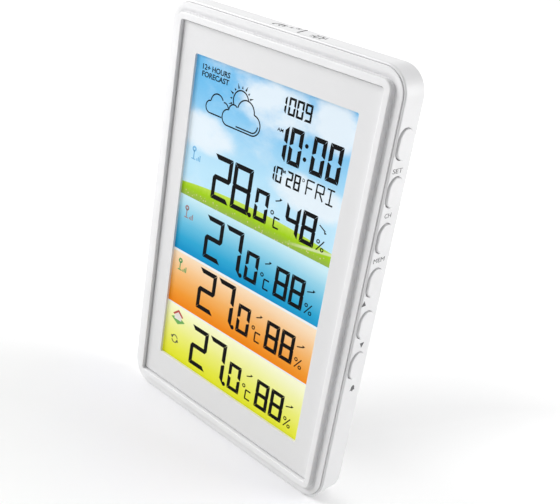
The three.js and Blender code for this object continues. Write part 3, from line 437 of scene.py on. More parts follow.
@once
def picture_film():
    """The display's printed picture, lit from behind: a sky over a hill, and three bands."""
    s = Shader("picture_film")
    f = finishes()
    x, _, z = (axis * (1 / MM) for axis in s.axes())
    puffs = s.noise(26, 6, 0.6, s.stretched((0.8, 1, 1.35), shift=(0.35, 0, 0.1)))
    haze = s.noise(70, 4, 0.6)

    def bank(mid_x, mid_z, half_w, half_h):
        """A soft patch of cloud, 1 in its middle."""
        across, up = (x - mid_x) / half_w, (z - mid_z) / half_h
        return 1 - s.step(across * across + up * up, 0.1, 1.5)

    sky = s.mix(s.step(z, 126, 180), tuple(f.sky_low), tuple(f.sky_top))
    banks = bank(4, 169, 22, 12) + bank(-38, 147, 20, 10)
    banks = banks + bank(30, 139, 24, 9) + bank(38, 172, 14, 12)
    clouds = s.step(puffs + 0.3 * banks + 0.08 * (haze - 0.5), 0.5, 0.84)
    clouded = s.mix(0.92 * clouds, sky, tuple(f.cloud))

    # the hill: bright at its crest, with flowers and a light path at its foot
    crown = 122.4 - 0.0013 * x * x + 0.5 * (haze - 0.5)
    grass = s.noise(900, 3, 0.6, s.stretched((1, 1, 0.35)))
    lit = s.ramp(
        (z - 113) / 9 + 0.3 * (grass - 0.5),
        [(0, shade(146, 176, 74)), (0.5, shade(160, 206, 24)), (1, shade(196, 226, 84))],
    )
    flowers = (1 - s.step(s.voronoi(650), 0.12, 0.3)) * (1 - s.step(z, 115.4, 117))
    meadow = s.mix(0.8 * flowers, lit, shade(226, 206, 170))
    slope = z - 0.16 * x
    path = s.step(slope, 110.4, 111) * (1 - s.step(slope, 111.6, 112.4))
    meadow = s.mix(0.7 * path * s.step(x, 18, 34), meadow, shade(226, 232, 190))
    picture = s.mix(s.step(z - crown, -0.15, 0.25), meadow, clouded)

    line = shade(236, 242, 244)
    for (low, high), lower, upper in (
        (BLUE, f.blue_low, f.blue_high),
        (ORANGE, f.orange_low, f.orange_high),
        (YELLOW, f.yellow_low, f.yellow_high),
    ):
        rise = (z - low) / (high - low) + 0.08 * s.step(x, 10, 50)
        band = s.ramp(rise, fade(lower, upper))
        picture = s.mix(s.step(z, high - 0.05, high + 0.1), band, picture)
        if low > YELLOW[0]:
            picture = s.mix(s.step(z, low - 0.05, low + 0.1), line, picture)
    return s.surface(
        Base_Color=s.mix(0.35, picture, (0, 0, 0)),
        Emission_Color=picture,
        Emission_Strength=0.36,
        Roughness=0.3 + 0.05 * (haze - 0.5),
        Specular_IOR_Level=0.05,
    )


@once
def lacquered_board():
    """Green circuit board with tracks under its lacquer."""
    s = Shader("lacquered_board")
    tracks = s.output(
        "ShaderNodeTexBrick",
        {"offset": 0.5},
        {"Vector": s.stretched((1, 1, 1), (math.pi / 2, 0, 0)), "Scale": 260, "Mortar Size": 0.035},
        pin="Fac",
    )
    blotch = s.noise(180, 3)
    base = s.mix(blotch, shade(18, 84, 42), shade(30, 108, 58))
    return s.surface(
        Base_Color=s.mix(tracks, base, shade(58, 138, 76)),
        Roughness=0.38 + 0.1 * (blotch - 0.5),
        Normal=s.bump(tracks, 2e-5),
    )


@once
def metal(name, base, roughness, grain_scale):
    """Bare or plated metal with drawing marks."""
    s = Shader(name)
    marks = s.noise(grain_scale, 3, 0.6, s.stretched((0.15, 1, 1)))
    return s.surface(
        Base_Color=s.mix(marks, tint(base, 0.88), tint(base, 1.06)),
        Metallic=1.0,
        Roughness=roughness + 0.14 * (marks - 0.5),
        Normal=s.bump(marks, 2e-6),
    )


@once
def wound_copper():
    """Enamelled wire wound side by side, with painted shade between the turns."""
    s = Shader("wound_copper")
    x, _, _ = s.axes()
    turns = s.math("PINGPONG", x, 0.15 * MM) * (1 / (0.15 * MM))
    return s.surface(
        # painted shade: each turn's colour darkens towards where it meets the next
        Base_Color=s.mix(turns, shade(120, 52, 24), shade(206, 118, 70)),
        Metallic=0.8,
        Roughness=0.34 + 0.1 * (1 - turns),
        Normal=s.bump(turns, 6e-5),
    )


@once
def cell_sleeve():
    """Sleeve of a battery: scuffed dark blue with a little gloss."""
    s = Shader("cell_sleeve")
    scuff = s.noise(420, 4)
    return s.surface(
        Base_Color=s.mix(scuff, shade(44, 92, 120), shade(66, 118, 146)),
        Roughness=0.3 + 0.14 * (scuff - 0.5),
        Coat_Weight=0.4 * scuff,
        Normal=s.bump(scuff, 4e-6),
    )


@once
def translucent_sheet(name, base):
    """Milky or clear sheet of the backlight, drawn as a pale plastic with a dot pattern."""
    s = Shader(name)
    spot = 1 - s.step(s.voronoi(900), 0.15, 0.3)
    return s.surface(
        Base_Color=s.mix(0.35 * spot, base, (1, 1, 1)),
        Roughness=0.22 + 0.2 * spot,
        IOR=1.49,
    )


@once
def striped(name, first, second, pitch, roughness, bumped):
    """Fine stripes along X, as on a flat cable or a zebra strip."""
    s = Shader(name)
    _, y, z = s.axes()
    wave = s.step(s.math("PINGPONG", z + y, pitch), 0.35 * pitch, 0.65 * pitch)
    return s.surface(
        Base_Color=s.mix(wave, first, second),
        Roughness=roughness + 0.1 * (wave - 0.5),
        Normal=s.bump(wave, bumped),
    )


# ---- drawing ----

Rect = namedtuple("Rect", "x0 x1 y0 y1 r")


def grown(rect, by, r=None):
    """A rounded rectangle moved outwards all round."""
    radius = max(rect.r + by, 0.05 * MM) if r is None else r
    return Rect(rect.x0 - by, rect.x1 + by, rect.y0 - by, rect.y1 + by, radius)


def centred(x, y, width, height, r):
    """A rounded rectangle round its middle."""
    return Rect(x - width / 2, x + width / 2, y - height / 2, y + height / 2, r)


def disc(x, y, radius):
    """A circle, as a rounded rectangle that is all corner."""
    return centred(x, y, 2 * radius, 2 * radius, radius)


def ring(bm, index, steps):
    """A closed ring of edges round a plain square with corners of radius 1."""
    old = set(bm.edges)
    place = Matrix.Translation((0, 0, index))
    corners = bmesh.ops.create_grid(bm, x_segments=1, y_segments=1, size=2, matrix=place)["verts"]
    bmesh.ops.bevel(
        bm, geom=corners, offset=1, offset_type="OFFSET", segments=steps,
        profile=0.5, affect="VERTICES", material=-1,
    )
    edges = [edge for edge in bm.edges if edge not in old]
    bmesh.ops.delete(bm, geom=[edges[0].link_faces[0]], context="FACES_ONLY")
    return edges


def on_arc(value, low, high, r):
    """Moves a place on the plain square's side or corner to that of a rounded rectangle."""
    return high - r + (value - 1) * r if value > 0 else low + r + (value + 1) * r


def solid(stations, plane, closed=False, steps=CORNER_STEPS, edge_steps=EDGE_STEPS):
    """A body through rounded rectangles. Each station is a rectangle, its level and the rounding
    of the edge there. A closed body runs on from its last station to its first, like a frame."""
    bm = bmesh.new()
    marks = bm.edges.layers.int.new("station")
    rings = [ring(bm, index, steps) for index in range(len(stations))]
    for index, edges in enumerate(rings):
        for edge in edges:
            edge[marks] = index + 1
    following = rings[1:] + (rings[:1] if closed else [])
    for first, second in zip(rings, following):
        bmesh.ops.bridge_loops(bm, edges=first + second)
    if not closed:
        for edges in (rings[0], rings[-1]):
            bmesh.ops.edgeloop_fill(bm, edges=edges)
    for vert in bm.verts:
        rect, level = stations[round(vert.co.z)][:2]
        vert.co = (
            on_arc(vert.co.x, rect.x0, rect.x1, rect.r),
            on_arc(vert.co.y, rect.y0, rect.y1, rect.r),
            level,
        )
    bmesh.ops.remove_doubles(bm, verts=bm.verts, dist=1e-7)
    bmesh.ops.recalc_face_normals(bm, faces=bm.faces)
    for index, station in enumerate(stations):
        if len(station) > 2:
            edges = [edge for edge in bm.edges if edge[marks] == index + 1]
            bmesh.ops.bevel(
                bm, geom=edges, offset=station[2], offset_type="OFFSET", segments=edge_steps,
                profile=0.5, affect="EDGES", material=-1,
            )
    bm.edges.layers.int.remove(marks)
    bm.transform(plane)
    if plane.determinant() < 0:
        bmesh.ops.reverse_faces(bm, faces=bm.faces)
    return bm


def slab(rect, level, plane, edge=0, **steps):
    """A straight body on one outline, between two levels."""
    ends = [(rect, height, edge) if edge else (rect, height) for height in sorted(level)]
    return solid(ends, plane, **steps)


def rod(x, y, radius, level, plane, steps=8, edge=0):
    """A round bar across a plane, between two levels."""
    return slab(disc(x, y, radius), level, plane, edge, steps=steps)


def block(x, y, level, plane, r=0.2 * MM, edge=0):
    """A box with slightly rounded corners, between two places along each direction."""
    return slab(Rect(*sorted(x), *sorted(y), r), level, plane, edge, steps=3, edge_steps=2)


def towards(degrees):
    """A step of 1 on a plane, at an angle from its X."""
    return Vector((math.cos(math.radians(degrees)), math.sin(math.radians(degrees))))


def meshed(bm, name="scratch"):
    """Turns a drawing into a mesh."""
    mesh = bpy.data.meshes.new(name)
    bm.to_mesh(mesh)
    bm.free()
    return mesh


def placed(name, data):
    """An object in the scene, at the origin."""
    made = bpy.data.objects.new(name, data)
    bpy.context.scene.collection.objects.link(made)
    return made


def gathered(parts):
    """Several drawings as one."""
    whole = bmesh.new()
    for part in parts:
        mesh = meshed(part)
        whole.from_mesh(mesh)
        bpy.data.meshes.remove(mesh)
    return whole


def combined(bm, tool, operation):
    """A drawing joined to another, or cut by it."""
    base, cutter = (placed("scratch", meshed(part)) for part in (bm, tool))
    modifier = base.modifiers.new("combine", "BOOLEAN")
    modifier.object = cutter
    modifier.operation = operation
    modifier.solver = "EXACT"
    modifier.use_self = True
    graph = bpy.context.evaluated_depsgraph_get()
    mesh = bpy.data.meshes.new_from_object(base.evaluated_get(graph))
    result = bmesh.new()
    result.from_mesh(mesh)
    bpy.data.meshes.remove(mesh)
    for made in (base, cutter):
        used = made.data
        bpy.data.objects.remove(made)
        bpy.data.meshes.remove(used)
    bmesh.ops.remove_doubles(result, verts=result.verts, dist=2e-6)
    return result


def joined(bm, parts):
    """A drawing with others grown onto it."""
    return combined(bm, gathered(parts), "UNION")


def cut(bm, parts):
    """A drawing with others taken out of it."""
    return combined(bm, gathered(parts), "DIFFERENCE")


SHARP = math.radians(38)  # edges that turn by more stay sharp


def piece(name, bm, material, body, replaced=()):
    """Makes the drawing a piece of the object, riding on a body."""
    mesh = meshed(bm, name)
    mesh.materials.clear()
    mesh.materials.append(material)
    mesh.shade_smooth()
    mesh.set_sharp_from_angle(angle=SHARP)
    made = placed(name, mesh)
    level = made.modifiers.new("flat faces stay flat", "WEIGHTED_NORMAL")
    level.keep_sharp = True
    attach(made, body)
    if replaced:
        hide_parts(*replaced)


# ---- front shell, face panel and display glass ----


def body_outline():
    """The case from the front."""
    return Rect(-HALF_W, HALF_W, 0, TOP_Z, bpy.context.scene.station_case.body_r)


SCREW_INSET = 8.6 * MM  # from the case's outline to the middle of a case screw


def screw_places():
    """Places of the four case screws, on the front plane."""
    heights = (SCREW_INSET, HEIGHT - SCREW_INSET)
    return [(side * (HALF_W - SCREW_INSET), z) for side in (-1, 1) for z in heights]


def on_front(low, high, r, by=0.0):
    """The outline of a frame node on the front plane, moved outwards."""
    return Rect(low.x - MID_X - by, high.x - MID_X + by, low.z - by, high.z + by, r)


BOSS_R = 3.3 * MM  # screw boss of the front shell
PILOT_R = 1.4 * MM  # hole in it for the screw's thread


class STATION_OT_front_shell(bpy.types.Operator):
    """Front shell: raised rim, groove, lip and the tongue that enters the rear shell"""

    bl_idname = "station.front_shell"
    bl_label = "Front Shell"

    def execute(self, context):
        p = context.scene.station_case
        body = body_outline()
        lip = grown(body, -p.lip_inset)
        rim = grown(body, -p.rim_inset, p.rim_r)
        opening = grown(rim, -p.rim_w, p.panel_r)
        glass = on_front(glass_low, glass_high, 0.3 * MM, GAP)
        tongue = grown(body, -p.wall - GAP)
        inner_tongue = grown(tongue, -p.tongue_t)
        ledge = RIM_Y - glass_low.y
        lip_back = -p.lip_front - p.lip_t
        shell = solid(
            [
                (lip, lip_back, 0.3 * MM),
                (lip, -p.lip_front, 0.35 * MM),
                (grown(rim, 2 * p.groove_w), -p.lip_front, 0.8 * MM),
                (grown(rim, 0.6 * p.groove_w), -p.groove_d, 0.35 * MM),
                (rim, -p.groove_d),
                (rim, 0, p.rim_edge),
                (opening, 0, 0.35 * MM),
                (opening, ledge),
                (glass, ledge),
                (glass, ledge - p.web_t),
                (rim, ledge - p.web_t),
                (rim, lip_back),
                (inner_tongue, lip_back),
                (inner_tongue, lip_back - p.tongue_l),
                (tongue, lip_back - p.tongue_l),
                (tongue, lip_back),
            ],
            FRONT,
            closed=True,
        )
        boss_end = RIM_Y - bezel_high.y
        boss, pilot = (boss_end, -p.lip_front - 1 * MM), (boss_end - 1 * MM, lip_back - 0.6 * MM)
        places = screw_places()
        shell = joined(shell, [rod(x, z, BOSS_R, boss, FRONT) for x, z in places])
        pilots = [rod(x, z, PILOT_R, pilot, FRONT) for x, z in places]
        # room for the switch board, which reaches forward past the tongue
        board_low, board_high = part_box("switch_board")
        notch = block(
            (-lip_back, p.side_d),
            (board_low.z - 1 * MM, board_high.z + 1 * MM),
            (-HALF_W, 0),
            SIDE,
        )
        shell = cut(shell, [*pilots, notch])
        piece("front_shell", shell, shell_plastic(), "case", ["front_bezel"])
        return {"FINISHED"}


class STATION_OT_face_plate(bpy.types.Operator):
    """Face panel round the display's window"""

    bl_idname = "station.face_plate"
    bl_label = "Face Panel"

    def execute(self, context):
        p = context.scene.station_case
        node = on_front(panel_low, panel_high, p.panel_r)
        plate = grown(node, -p.panel_gap)
        window = Rect(
            node.x0 + p.window_side,
            node.x1 - p.window_side,
            node.y0 + p.window_bottom,
            node.y1 - p.window_top,
            p.window_r,
        )
        front, back = RIM_Y - panel_low.y, RIM_Y - panel_high.y
        made = solid(
            [
                (plate, back),
                (plate, front, 0.15 * MM),
                (window, front, 0.15 * MM),
                (window, back),
            ],
            FRONT,
            closed=True,
        )
        piece("face_plate", made, face_lacquer(), "case", ["face_panel"])
        return {"FINISHED"}


class STATION_OT_display(bpy.types.Operator):
    """Display glass with the coloured picture behind its segments"""

    bl_idname = "station.display"
    bl_label = "Display Glass"

    def execute(self, context):
        sheet = on_front(glass_low, glass_high, 0.3 * MM)
        front, back = RIM_Y - glass_low.y, RIM_Y - glass_high.y
        made = slab(sheet, (back, front), FRONT, 0.1 * MM)
        piece("display_glass", made, picture_film(), "case", ["lcd_glass"])
        return {"FINISHED"}


# ---- segments and signs on the display ----

# Bars of a seven-segment digit, by the usual letters from the top, clockwise
LIT = {"0": "abcdef", "1": "bc", "2": "abdeg", "4": "bcfg", "7": "abc", "8": "abcdefg", "9": "abcdfg"}


def facet(bm, points):
    """A flat face through a few points."""
    return bm.faces.new([bm.verts.new((x, y, 0)) for x, y in points])


def bar(bm, start, end, width):
    """A straight stroke between two points."""
    (x0, y0), (x1, y1) = start, end
    run = Vector((x1 - x0, y1 - y0))
    side = Vector((-run.y, run.x)).normalized() * width / 2
    facet(bm, [
        (x0 + side.x, y0 + side.y), (x0 - side.x, y0 - side.y),
        (x1 - side.x, y1 - side.y), (x1 + side.x, y1 + side.y),
    ])


def arc(bm, x, y, radius, width, start, sweep, steps=20):
    """A stroke along part of a circle, from a start angle, in degrees."""
    turn = Matrix.Rotation(math.radians(start), 3, "Z")
    ends = [turn @ Vector((radius + side * width / 2, 0, 0)) for side in (-1, 1)]
    verts = [bm.verts.new((x + end.x, y + end.y, 0)) for end in ends]
    edge = bm.edges.new(verts)
    bmesh.ops.spin(
        bm, geom=[*verts, edge], cent=(x, y, 0), axis=(0, 0, 1), dvec=(0, 0, 0),
        angle=math.radians(sweep), steps=steps, use_merge=abs(sweep) == 360,
    )


def dot(bm, x, y, radius):
    """A filled circle."""
    place = Matrix.Translation((x, y, 0))
    bmesh.ops.create_circle(bm, cap_ends=True, segments=20, radius=radius, matrix=place)


def digit(bm, character, x, y, width, height, stroke):
    """A seven-segment digit whose lower left corner is at x, y."""
    gap = 0.05 * stroke
    slant = stroke * 0.85
    top = [
        (gap, height), (width - gap, height),
        (width - slant - gap, height - stroke), (slant + gap, height - stroke),
    ]
    mid = height / 2
    half = stroke / 2
    waist = [
        (gap + 0.2 * half, mid), (half + gap, mid + half), (width - half - gap, mid + half),
        (width - gap - 0.2 * half, mid), (width - half - gap, mid - half), (half + gap, mid - half),
    ]
    upright = [
        (0, height - 2 * gap), (0, mid + 0.6 * half), (0.2 * half, mid + gap),
        (stroke, mid + half + gap), (stroke, height - stroke - 2 * gap),
    ]
    flip_x = [(width - px, py) for px, py in upright]
    bars = {
        "a": top,
        "b": flip_x,
        "c": [(px, height - py) for px, py in flip_x],
        "d": [(px, height - py) for px, py in top],
        "e": [(px, height - py) for px, py in upright],
        "f": upright,
        "g": waist,
    }
    for name in LIT[character]:
        facet(bm, [(x + px, y + py) for px, py in bars[name]])


def flattened(bm, plane, layer=0):
    """Prints a flat drawing, given in millimetres, on a plane. Layers lie on each other."""
    bmesh.ops.recalc_face_normals(bm, faces=bm.faces)
    raised = bmesh.ops.extrude_face_region(bm, geom=bm.faces[:])["geom"]
    verts = [item for item in raised if isinstance(item, bmesh.types.BMVert)]
    bmesh.ops.translate(bm, verts=verts, vec=(0, 0, INK_T / MM))
    bmesh.ops.recalc_face_normals(bm, faces=bm.faces)
    bm.transform(plane @ Matrix.Translation((0, 0, layer * INK_T)) @ IN_MM)
    return bm


def lettering(text, x, y, height, width, plane, weight):
    """A printed word, its lower left corner at x, y, fitted to a height and width. The weight is
    added to its strokes, as a part of the letters' height."""
    curve = bpy.data.curves.new("word", "FONT")
    curve.body = text
    curve.resolution_u = 3
    curve.offset = weight
    made = placed("word", curve)
    graph = bpy.context.evaluated_depsgraph_get()
    mesh = bpy.data.meshes.new_from_object(made.evaluated_get(graph))
    bm = bmesh.new()
    bm.from_mesh(mesh)
    bpy.data.objects.remove(made)
    bpy.data.curves.remove(curve)
    bpy.data.meshes.remove(mesh)
    bmesh.ops.remove_doubles(bm, verts=bm.verts, dist=1e-5)
    xs = [v.co.x for v in bm.verts]
    ys = [v.co.y for v in bm.verts]
    fit = Matrix.Diagonal((width / (max(xs) - min(xs)), height / (max(ys) - min(ys)), 1, 1))
    bm.transform(fit @ Matrix.Translation((-min(xs), -min(ys), 0)))
    bm.transform(Matrix.Translation((x, y, 0)))
    return flattened(bm, plane)


def display_piece(name, bm, material, layer=0):
    """A drawing on the glass."""
    piece(name, flattened(bm, GLASS, layer), material, "case")


# The display is drawn in millimetres. For each row: degrees, tenths of a degree, humidity, the
# height of the digits' lower edge, and the height and rise of the humidity's trend arrow.
READINGS = [
    ("28", "0", "48", 117.8, 11.7, -2.3),
    ("27", "0", "88", 87.05, 10.6, 1.5),
    ("27", "0", "88", 59.3, 10.6, 1.5),
    ("27", "0", "88", 27.3, 10.6, 1.5),
]
BIG_DIGIT = (12.0, 22.0, 2.35)  # width, height and stroke
SMALL_DIGIT = (8.3, 14.85, 2.0)


def degree_and_unit(bm, y):
    """The degree sign and the C beside a temperature, and the percent sign."""
    arc(bm, 11.0, y + 7.2, 0.8, 0.55, 0, 360, 16)
    for x0, y0, x1, y1 in ((12.5, 5.5, 15.9, 5.5), (12.7, 5.2, 12.7, 1.0), (12.5, 0.85, 15.9, 0.85)):
        bar(bm, (x0, y + y0), (x1, y + y1), 0.8)
    arc(bm, 39.1, y + 4.4, 0.75, 0.5, 0, 360, 16)
    arc(bm, 41.8, y + 1.3, 0.75, 0.5, 0, 360, 16)
    bar(bm, (38.6, y + 0.3), (42.3, y + 5.4), 0.55)


def arrow(bm, x, y, run, rise):
    """A thin trend arrow that ends in a small head."""
    tip_x, tip_y = x + run, y + rise
    bar(bm, (x, y), (tip_x - 0.7, tip_y - rise / 5), 0.55)
    head = [(tip_x + 0.3, tip_y + rise / 6), (tip_x - 1.3, tip_y + 0.6), (tip_x - 1.0, tip_y - 0.8)]
    facet(bm, head)


class STATION_OT_readings(bpy.types.Operator):
    """Dark segments of the four rows of readings"""

    bl_idname = "station.readings"
    bl_label = "Readings"

    def execute(self, context):
        for number, (degrees, tenth, humidity, y, trend_y, rise) in enumerate(READINGS, start=1):
            bm = bmesh.new()
            for character, x in zip(degrees, (-28.5, -15.3)):
                digit(bm, character, x, y, *BIG_DIGIT)
            dot(bm, -2.3, y + 0.85, 1.15)
            for character, x in zip(tenth + humidity, (-0.1, 18.9, 28.5)):
                digit(bm, character, x, y + 0.2, *SMALL_DIGIT)
            degree_and_unit(bm, y)
            arrow(bm, 11.9, y + 12.9, 3.6, 1.5)
            arrow(bm, 38.3, y + trend_y, 4.3, rise)
            display_piece(f"reading_{number}", bm, segment_black())
        return {"FINISHED"}


class STATION_OT_clock(bpy.types.Operator):
    """Pressure, clock and date segments"""

    bl_idname = "station.clock"
    bl_label = "Clock and Date"

    def execute(self, context):
        bm = bmesh.new()
        # text, places of its digits, height of their lower edge, width of a digit and of a 1,
        # height and stroke
        for text, places, y, wide, narrow, height, stroke in (
            ("1009", (7.4, 10.6, 15.3, 20.0), 169.7, 4.0, 2.0, 7.8, 1.05),
            ("1000", (10.2, 14.4, 27.4, 36.4), 149.1, 7.3, 2.95, 16.4, 2.1),
            ("1028", (7.3, 9.5, 15.9, 20.3), 139.2, 3.7, 1.5, 7.2, 0.95),
        ):
            for character, x in zip(text, places):
                digit(bm, character, x, y, narrow if character == "1" else wide, height, stroke)
        for y in (154.0, 159.9):
            dot(bm, 24.0, y, 1.0)
        display_piece("clock_segments", bm, segment_black())

        thin = bmesh.new()
        strokes = {
            "F": [(0, 0, 0, 1), (0, 1, 1, 1), (0, 0.5, 0.8, 0.5)],
            "R": [(0, 0, 0, 1), (0, 1, 1, 1), (1, 1, 1, 0.5), (1, 0.5, 0, 0.5), (0.45, 0.5, 1, 0)],
            "I": [(0, 1, 1, 1), (0.5, 1, 0.5, 0), (0, 0, 1, 0)],
        }
        width, height, y = 4.0, 6.7, 139.5
        for letter, x in zip("FRI", (27.7, 33.3, 39.0)):
            for x0, y0, x1, y1 in strokes[letter]:
                start, end = (x + x0 * width, y + y0 * height), (x + x1 * width, y + y1 * height)
                bar(thin, start, end, 0.72)
        display_piece("weekday_segments", thin, segment_black())

        small = [
            lettering(text, x, y, height, width, GLASS, 0.022)
            for text, x, y, height, width in (
                ("AM", 6.3, 161.5, 1.5, 3.6), ("M", 13.4, 144.4, 1.5, 1.5), ("D", 24.9, 144.4, 1.5, 1.3),
                ("12+ HOURS", -44.15, 175.4, 2.6, 18.1), ("FORECAST", -44.15, 172.1, 2.6, 17.85),
            )
        ]
        piece("display_words", gathered(small), segment_black(), "case")
        return {"FINISHED"}


class STATION_OT_weather_sign(bpy.types.Operator):
    """Line drawing of the forecast: a sun behind two clouds"""

    bl_idname = "station.weather_sign"
    bl_label = "Forecast Sign"

    def execute(self, context):
        line = 0.62
        bm = bmesh.new()
        # sun, drawn only where the front cloud leaves it free
        sun = Vector((-17.4, 167.5))
        arc(bm, *sun, 4.77, line, 15, 199, 30)
        for index in range(9):
            reach = 7.0 if index % 2 else 8.1
            way = towards(22.5 + index * 22.5)
            root = sun + way * 5.7
            across = Vector((-way.y, way.x)) * 0.5
            facet(bm, [tuple(sun + way * reach), tuple(root + across), tuple(root - across)])
        # front cloud with the fold inside its lower edge, then the back cloud
        for x, y, radius, start, sweep in (
            (-24.2, 158.05, 3.65, 90, 180), (-21.1, 161.8, 3.05, 50, 130), (-13.5, 163.6, 5.25, 2, 170),
            (-8.5, 159.1, 4.7, -90, 178), (-8.6, 158.9, 3.3, -90, 95),
            (-36.2, 159.75, 2.85, 90, 180), (-32.0, 162.6, 4.1, 30, 148), (-27.3, 161.2, 2.9, 20, 80),
        ):
            arc(bm, x, y, radius, line, start, sweep)
        for x0, x1, y in ((-24.2, -8.5, 154.4), (-18.5, -8.6, 155.6), (-36.2, -28.2, 156.9)):
            bar(bm, (x0, y), (x1, y), line)
        display_piece("forecast_sign", bm, segment_black())
        return {"FINISHED"}


class STATION_OT_row_signs(bpy.types.Operator):
    """Small coloured signs at the left of each row"""

    bl_idname = "station.row_signs"
    bl_label = "Row Signs"

    def execute(self, context):
        rows = [
            ("outdoor", 132.0, shade(110, 178, 222)),
            ("sensor_1", 101.8, shade(150, 120, 122)),
            ("sensor_2", 73.4, shade(56, 150, 76)),
        ]
        for name, z, base in rows:
            bm = bmesh.new()
            bar(bm, (-43.0, z + 0.5), (-43.0, z + 4.4), 0.6)
            arc(bm, -43.0, z + 5.2, 0.95, 0.9, 0, 360, 16)
            bar(bm, (-44.4, z + 0.25), (-41.6, z + 0.25), 0.55)
            for step in range(3):
                x = -40.6 + step * 1.0
                bar(bm, (x, z), (x, z + 1.2 + 0.9 * step), 0.6)
            display_piece(f"sign_{name}", bm, ink(f"ink_{name}", base))

        house = [
            ("lawn", shade(96, 166, 74), [(-44.8, 46.6), (-39.6, 43.9), (-34.5, 46.4), (-39.8, 48.6)]),
            ("house", shade(226, 222, 214),
             [(-42.4, 46.4), (-37.2, 46.4), (-37.2, 49.2), (-39.8, 51.0), (-42.4, 49.2)]),
            ("roof", shade(178, 52, 44),
             [(-43.6, 49.0), (-39.8, 52.05), (-36.0, 49.0), (-36.8, 48.4), (-39.8, 50.7), (-42.8, 48.4)]),
        ]
        for layer, (name, base, outline) in enumerate(house):
            bm = bmesh.new()
            facet(bm, outline)
            display_piece(f"sign_{name}", bm, ink(f"ink_{name}", base), layer)

        turning = bmesh.new()
        x, z = -40.5, 35.0
        for start in (20, 200):
            arc(turning, x, z, 2.1, 0.55, start, 125, 12)
        for side in (1, -1):
            head = ((-3.0, 1.3), (-0.9, 1.5), (-2.0, -0.4))
            facet(turning, [(x + side * dx, z + side * dz) for dx, dz in head])
        display_piece("sign_turning", turning, ink("ink_turning", shade(70, 74, 48)))
        return {"FINISHED"}


# ---- rear shell ----

POST_R = 3.9 * MM  # post round a case screw
WELL_R, WELL_DEPTH = 2.8 * MM, 3.1 * MM  # recess of a case screw
LEG_WALL = 2.8 * MM  # beside the leg's seat
VENT = (16 * MM, 1.5 * MM, 0.74 * MM)  # width, height and corner of a vent
VENT_ROWS, VENT_TOP, VENT_PITCH = 5, 19.25 * MM, 3.2 * MM
SOUND_R, SOUND_RING = 0.8 * MM, 3.6 * MM  # a sound hole, and the ring they stand on
HANG_RISE = 6 * MM  # from the door to the hanging hole
PLUG_R = 4 * MM  # hole round the power inlet


def door_outline():
    """The battery door without its tabs."""
    b = bpy.context.scene.station_back
    half = (door_high.x - door_low.x) / 2
    return Rect(-half, half, door_low.z + b.tab_l, door_high.z, b.door_r)


def hump_outline():
    """The flat of the hump, round the battery door and the hanging hole."""
    b = bpy.context.scene.station_back
    door = door_outline()
    half = door.x1 + b.hump_side
    return Rect(-half, half, b.hump_z, door.y1 + b.hump_top, b.hump_r)


def leg_outline():
    """The folding leg without its pins."""
    b = bpy.context.scene.station_back
    half = (leg_high.x - leg_low.x) / 2 - b.pin_l
    return Rect(-half, half, leg_low.z, leg_high.z, 0.6 * MM)


def key_outline(name, by=0.0, forward=0.0):
    """The outline of a key on the side wall, moved outwards and to the front."""
    k = bpy.context.scene.station_keys
    height = middle(f"key_{name}").z
    return grown(centred(k.depth - forward, height, k.width, k.height, k.width / 2), by)


def rear_blank():
    """The case and its hump, hollow."""
    p, b = bpy.context.scene.station_case, bpy.context.scene.station_back
    body = body_outline()
    inside = grown(body, -p.wall)
    rebate = grown(body, -p.lip_inset + p.seam_gap)
    rebate_back = p.lip_front + p.lip_t + GAP
    shell = solid(
        [
            (inside, p.side_d - p.wall),
            (inside, rebate_back),
            (rebate, rebate_back),
            (rebate, p.seam_d, 0.15 * MM),
            (body, p.seam_d, p.front_edge),
            (body, p.side_d, p.rear_edge),
        ],
        BACK,
    )
    flat = hump_outline()
    hump = solid(
        [
            (grown(flat, b.hump_slope), p.side_d - 0.5 * MM),
            (grown(flat, 0.9 * b.hump_slope), p.side_d + 4.5 * MM, 3 * MM),
            (flat, TOTAL_D, 1.2 * MM),
        ],
        BACK,
        edge_steps=6,
    )
    room = Rect(flat.x0 + 1 * MM, flat.x1 - 1 * MM, flat.y0 + 5 * MM, flat.y1 - 1 * MM, flat.r)
    hollow = slab(room, (p.side_d - p.wall - 1 * MM, TOTAL_D - p.wall), BACK)
    return cut(joined(shell, [hump]), [hollow])


def flared(outline, levels, plane, flare=0.25 * MM, steps=CORNER_STEPS):
    """A cutter that opens a hole with a softened mouth. The second level is the mouth's."""
    deep, mouth = levels
    wide = grown(outline, flare)
    stations = [(outline, deep), (outline, mouth - flare), (wide, mouth), (wide, mouth + 2 * MM)]
    return solid(stations, plane, steps=steps)


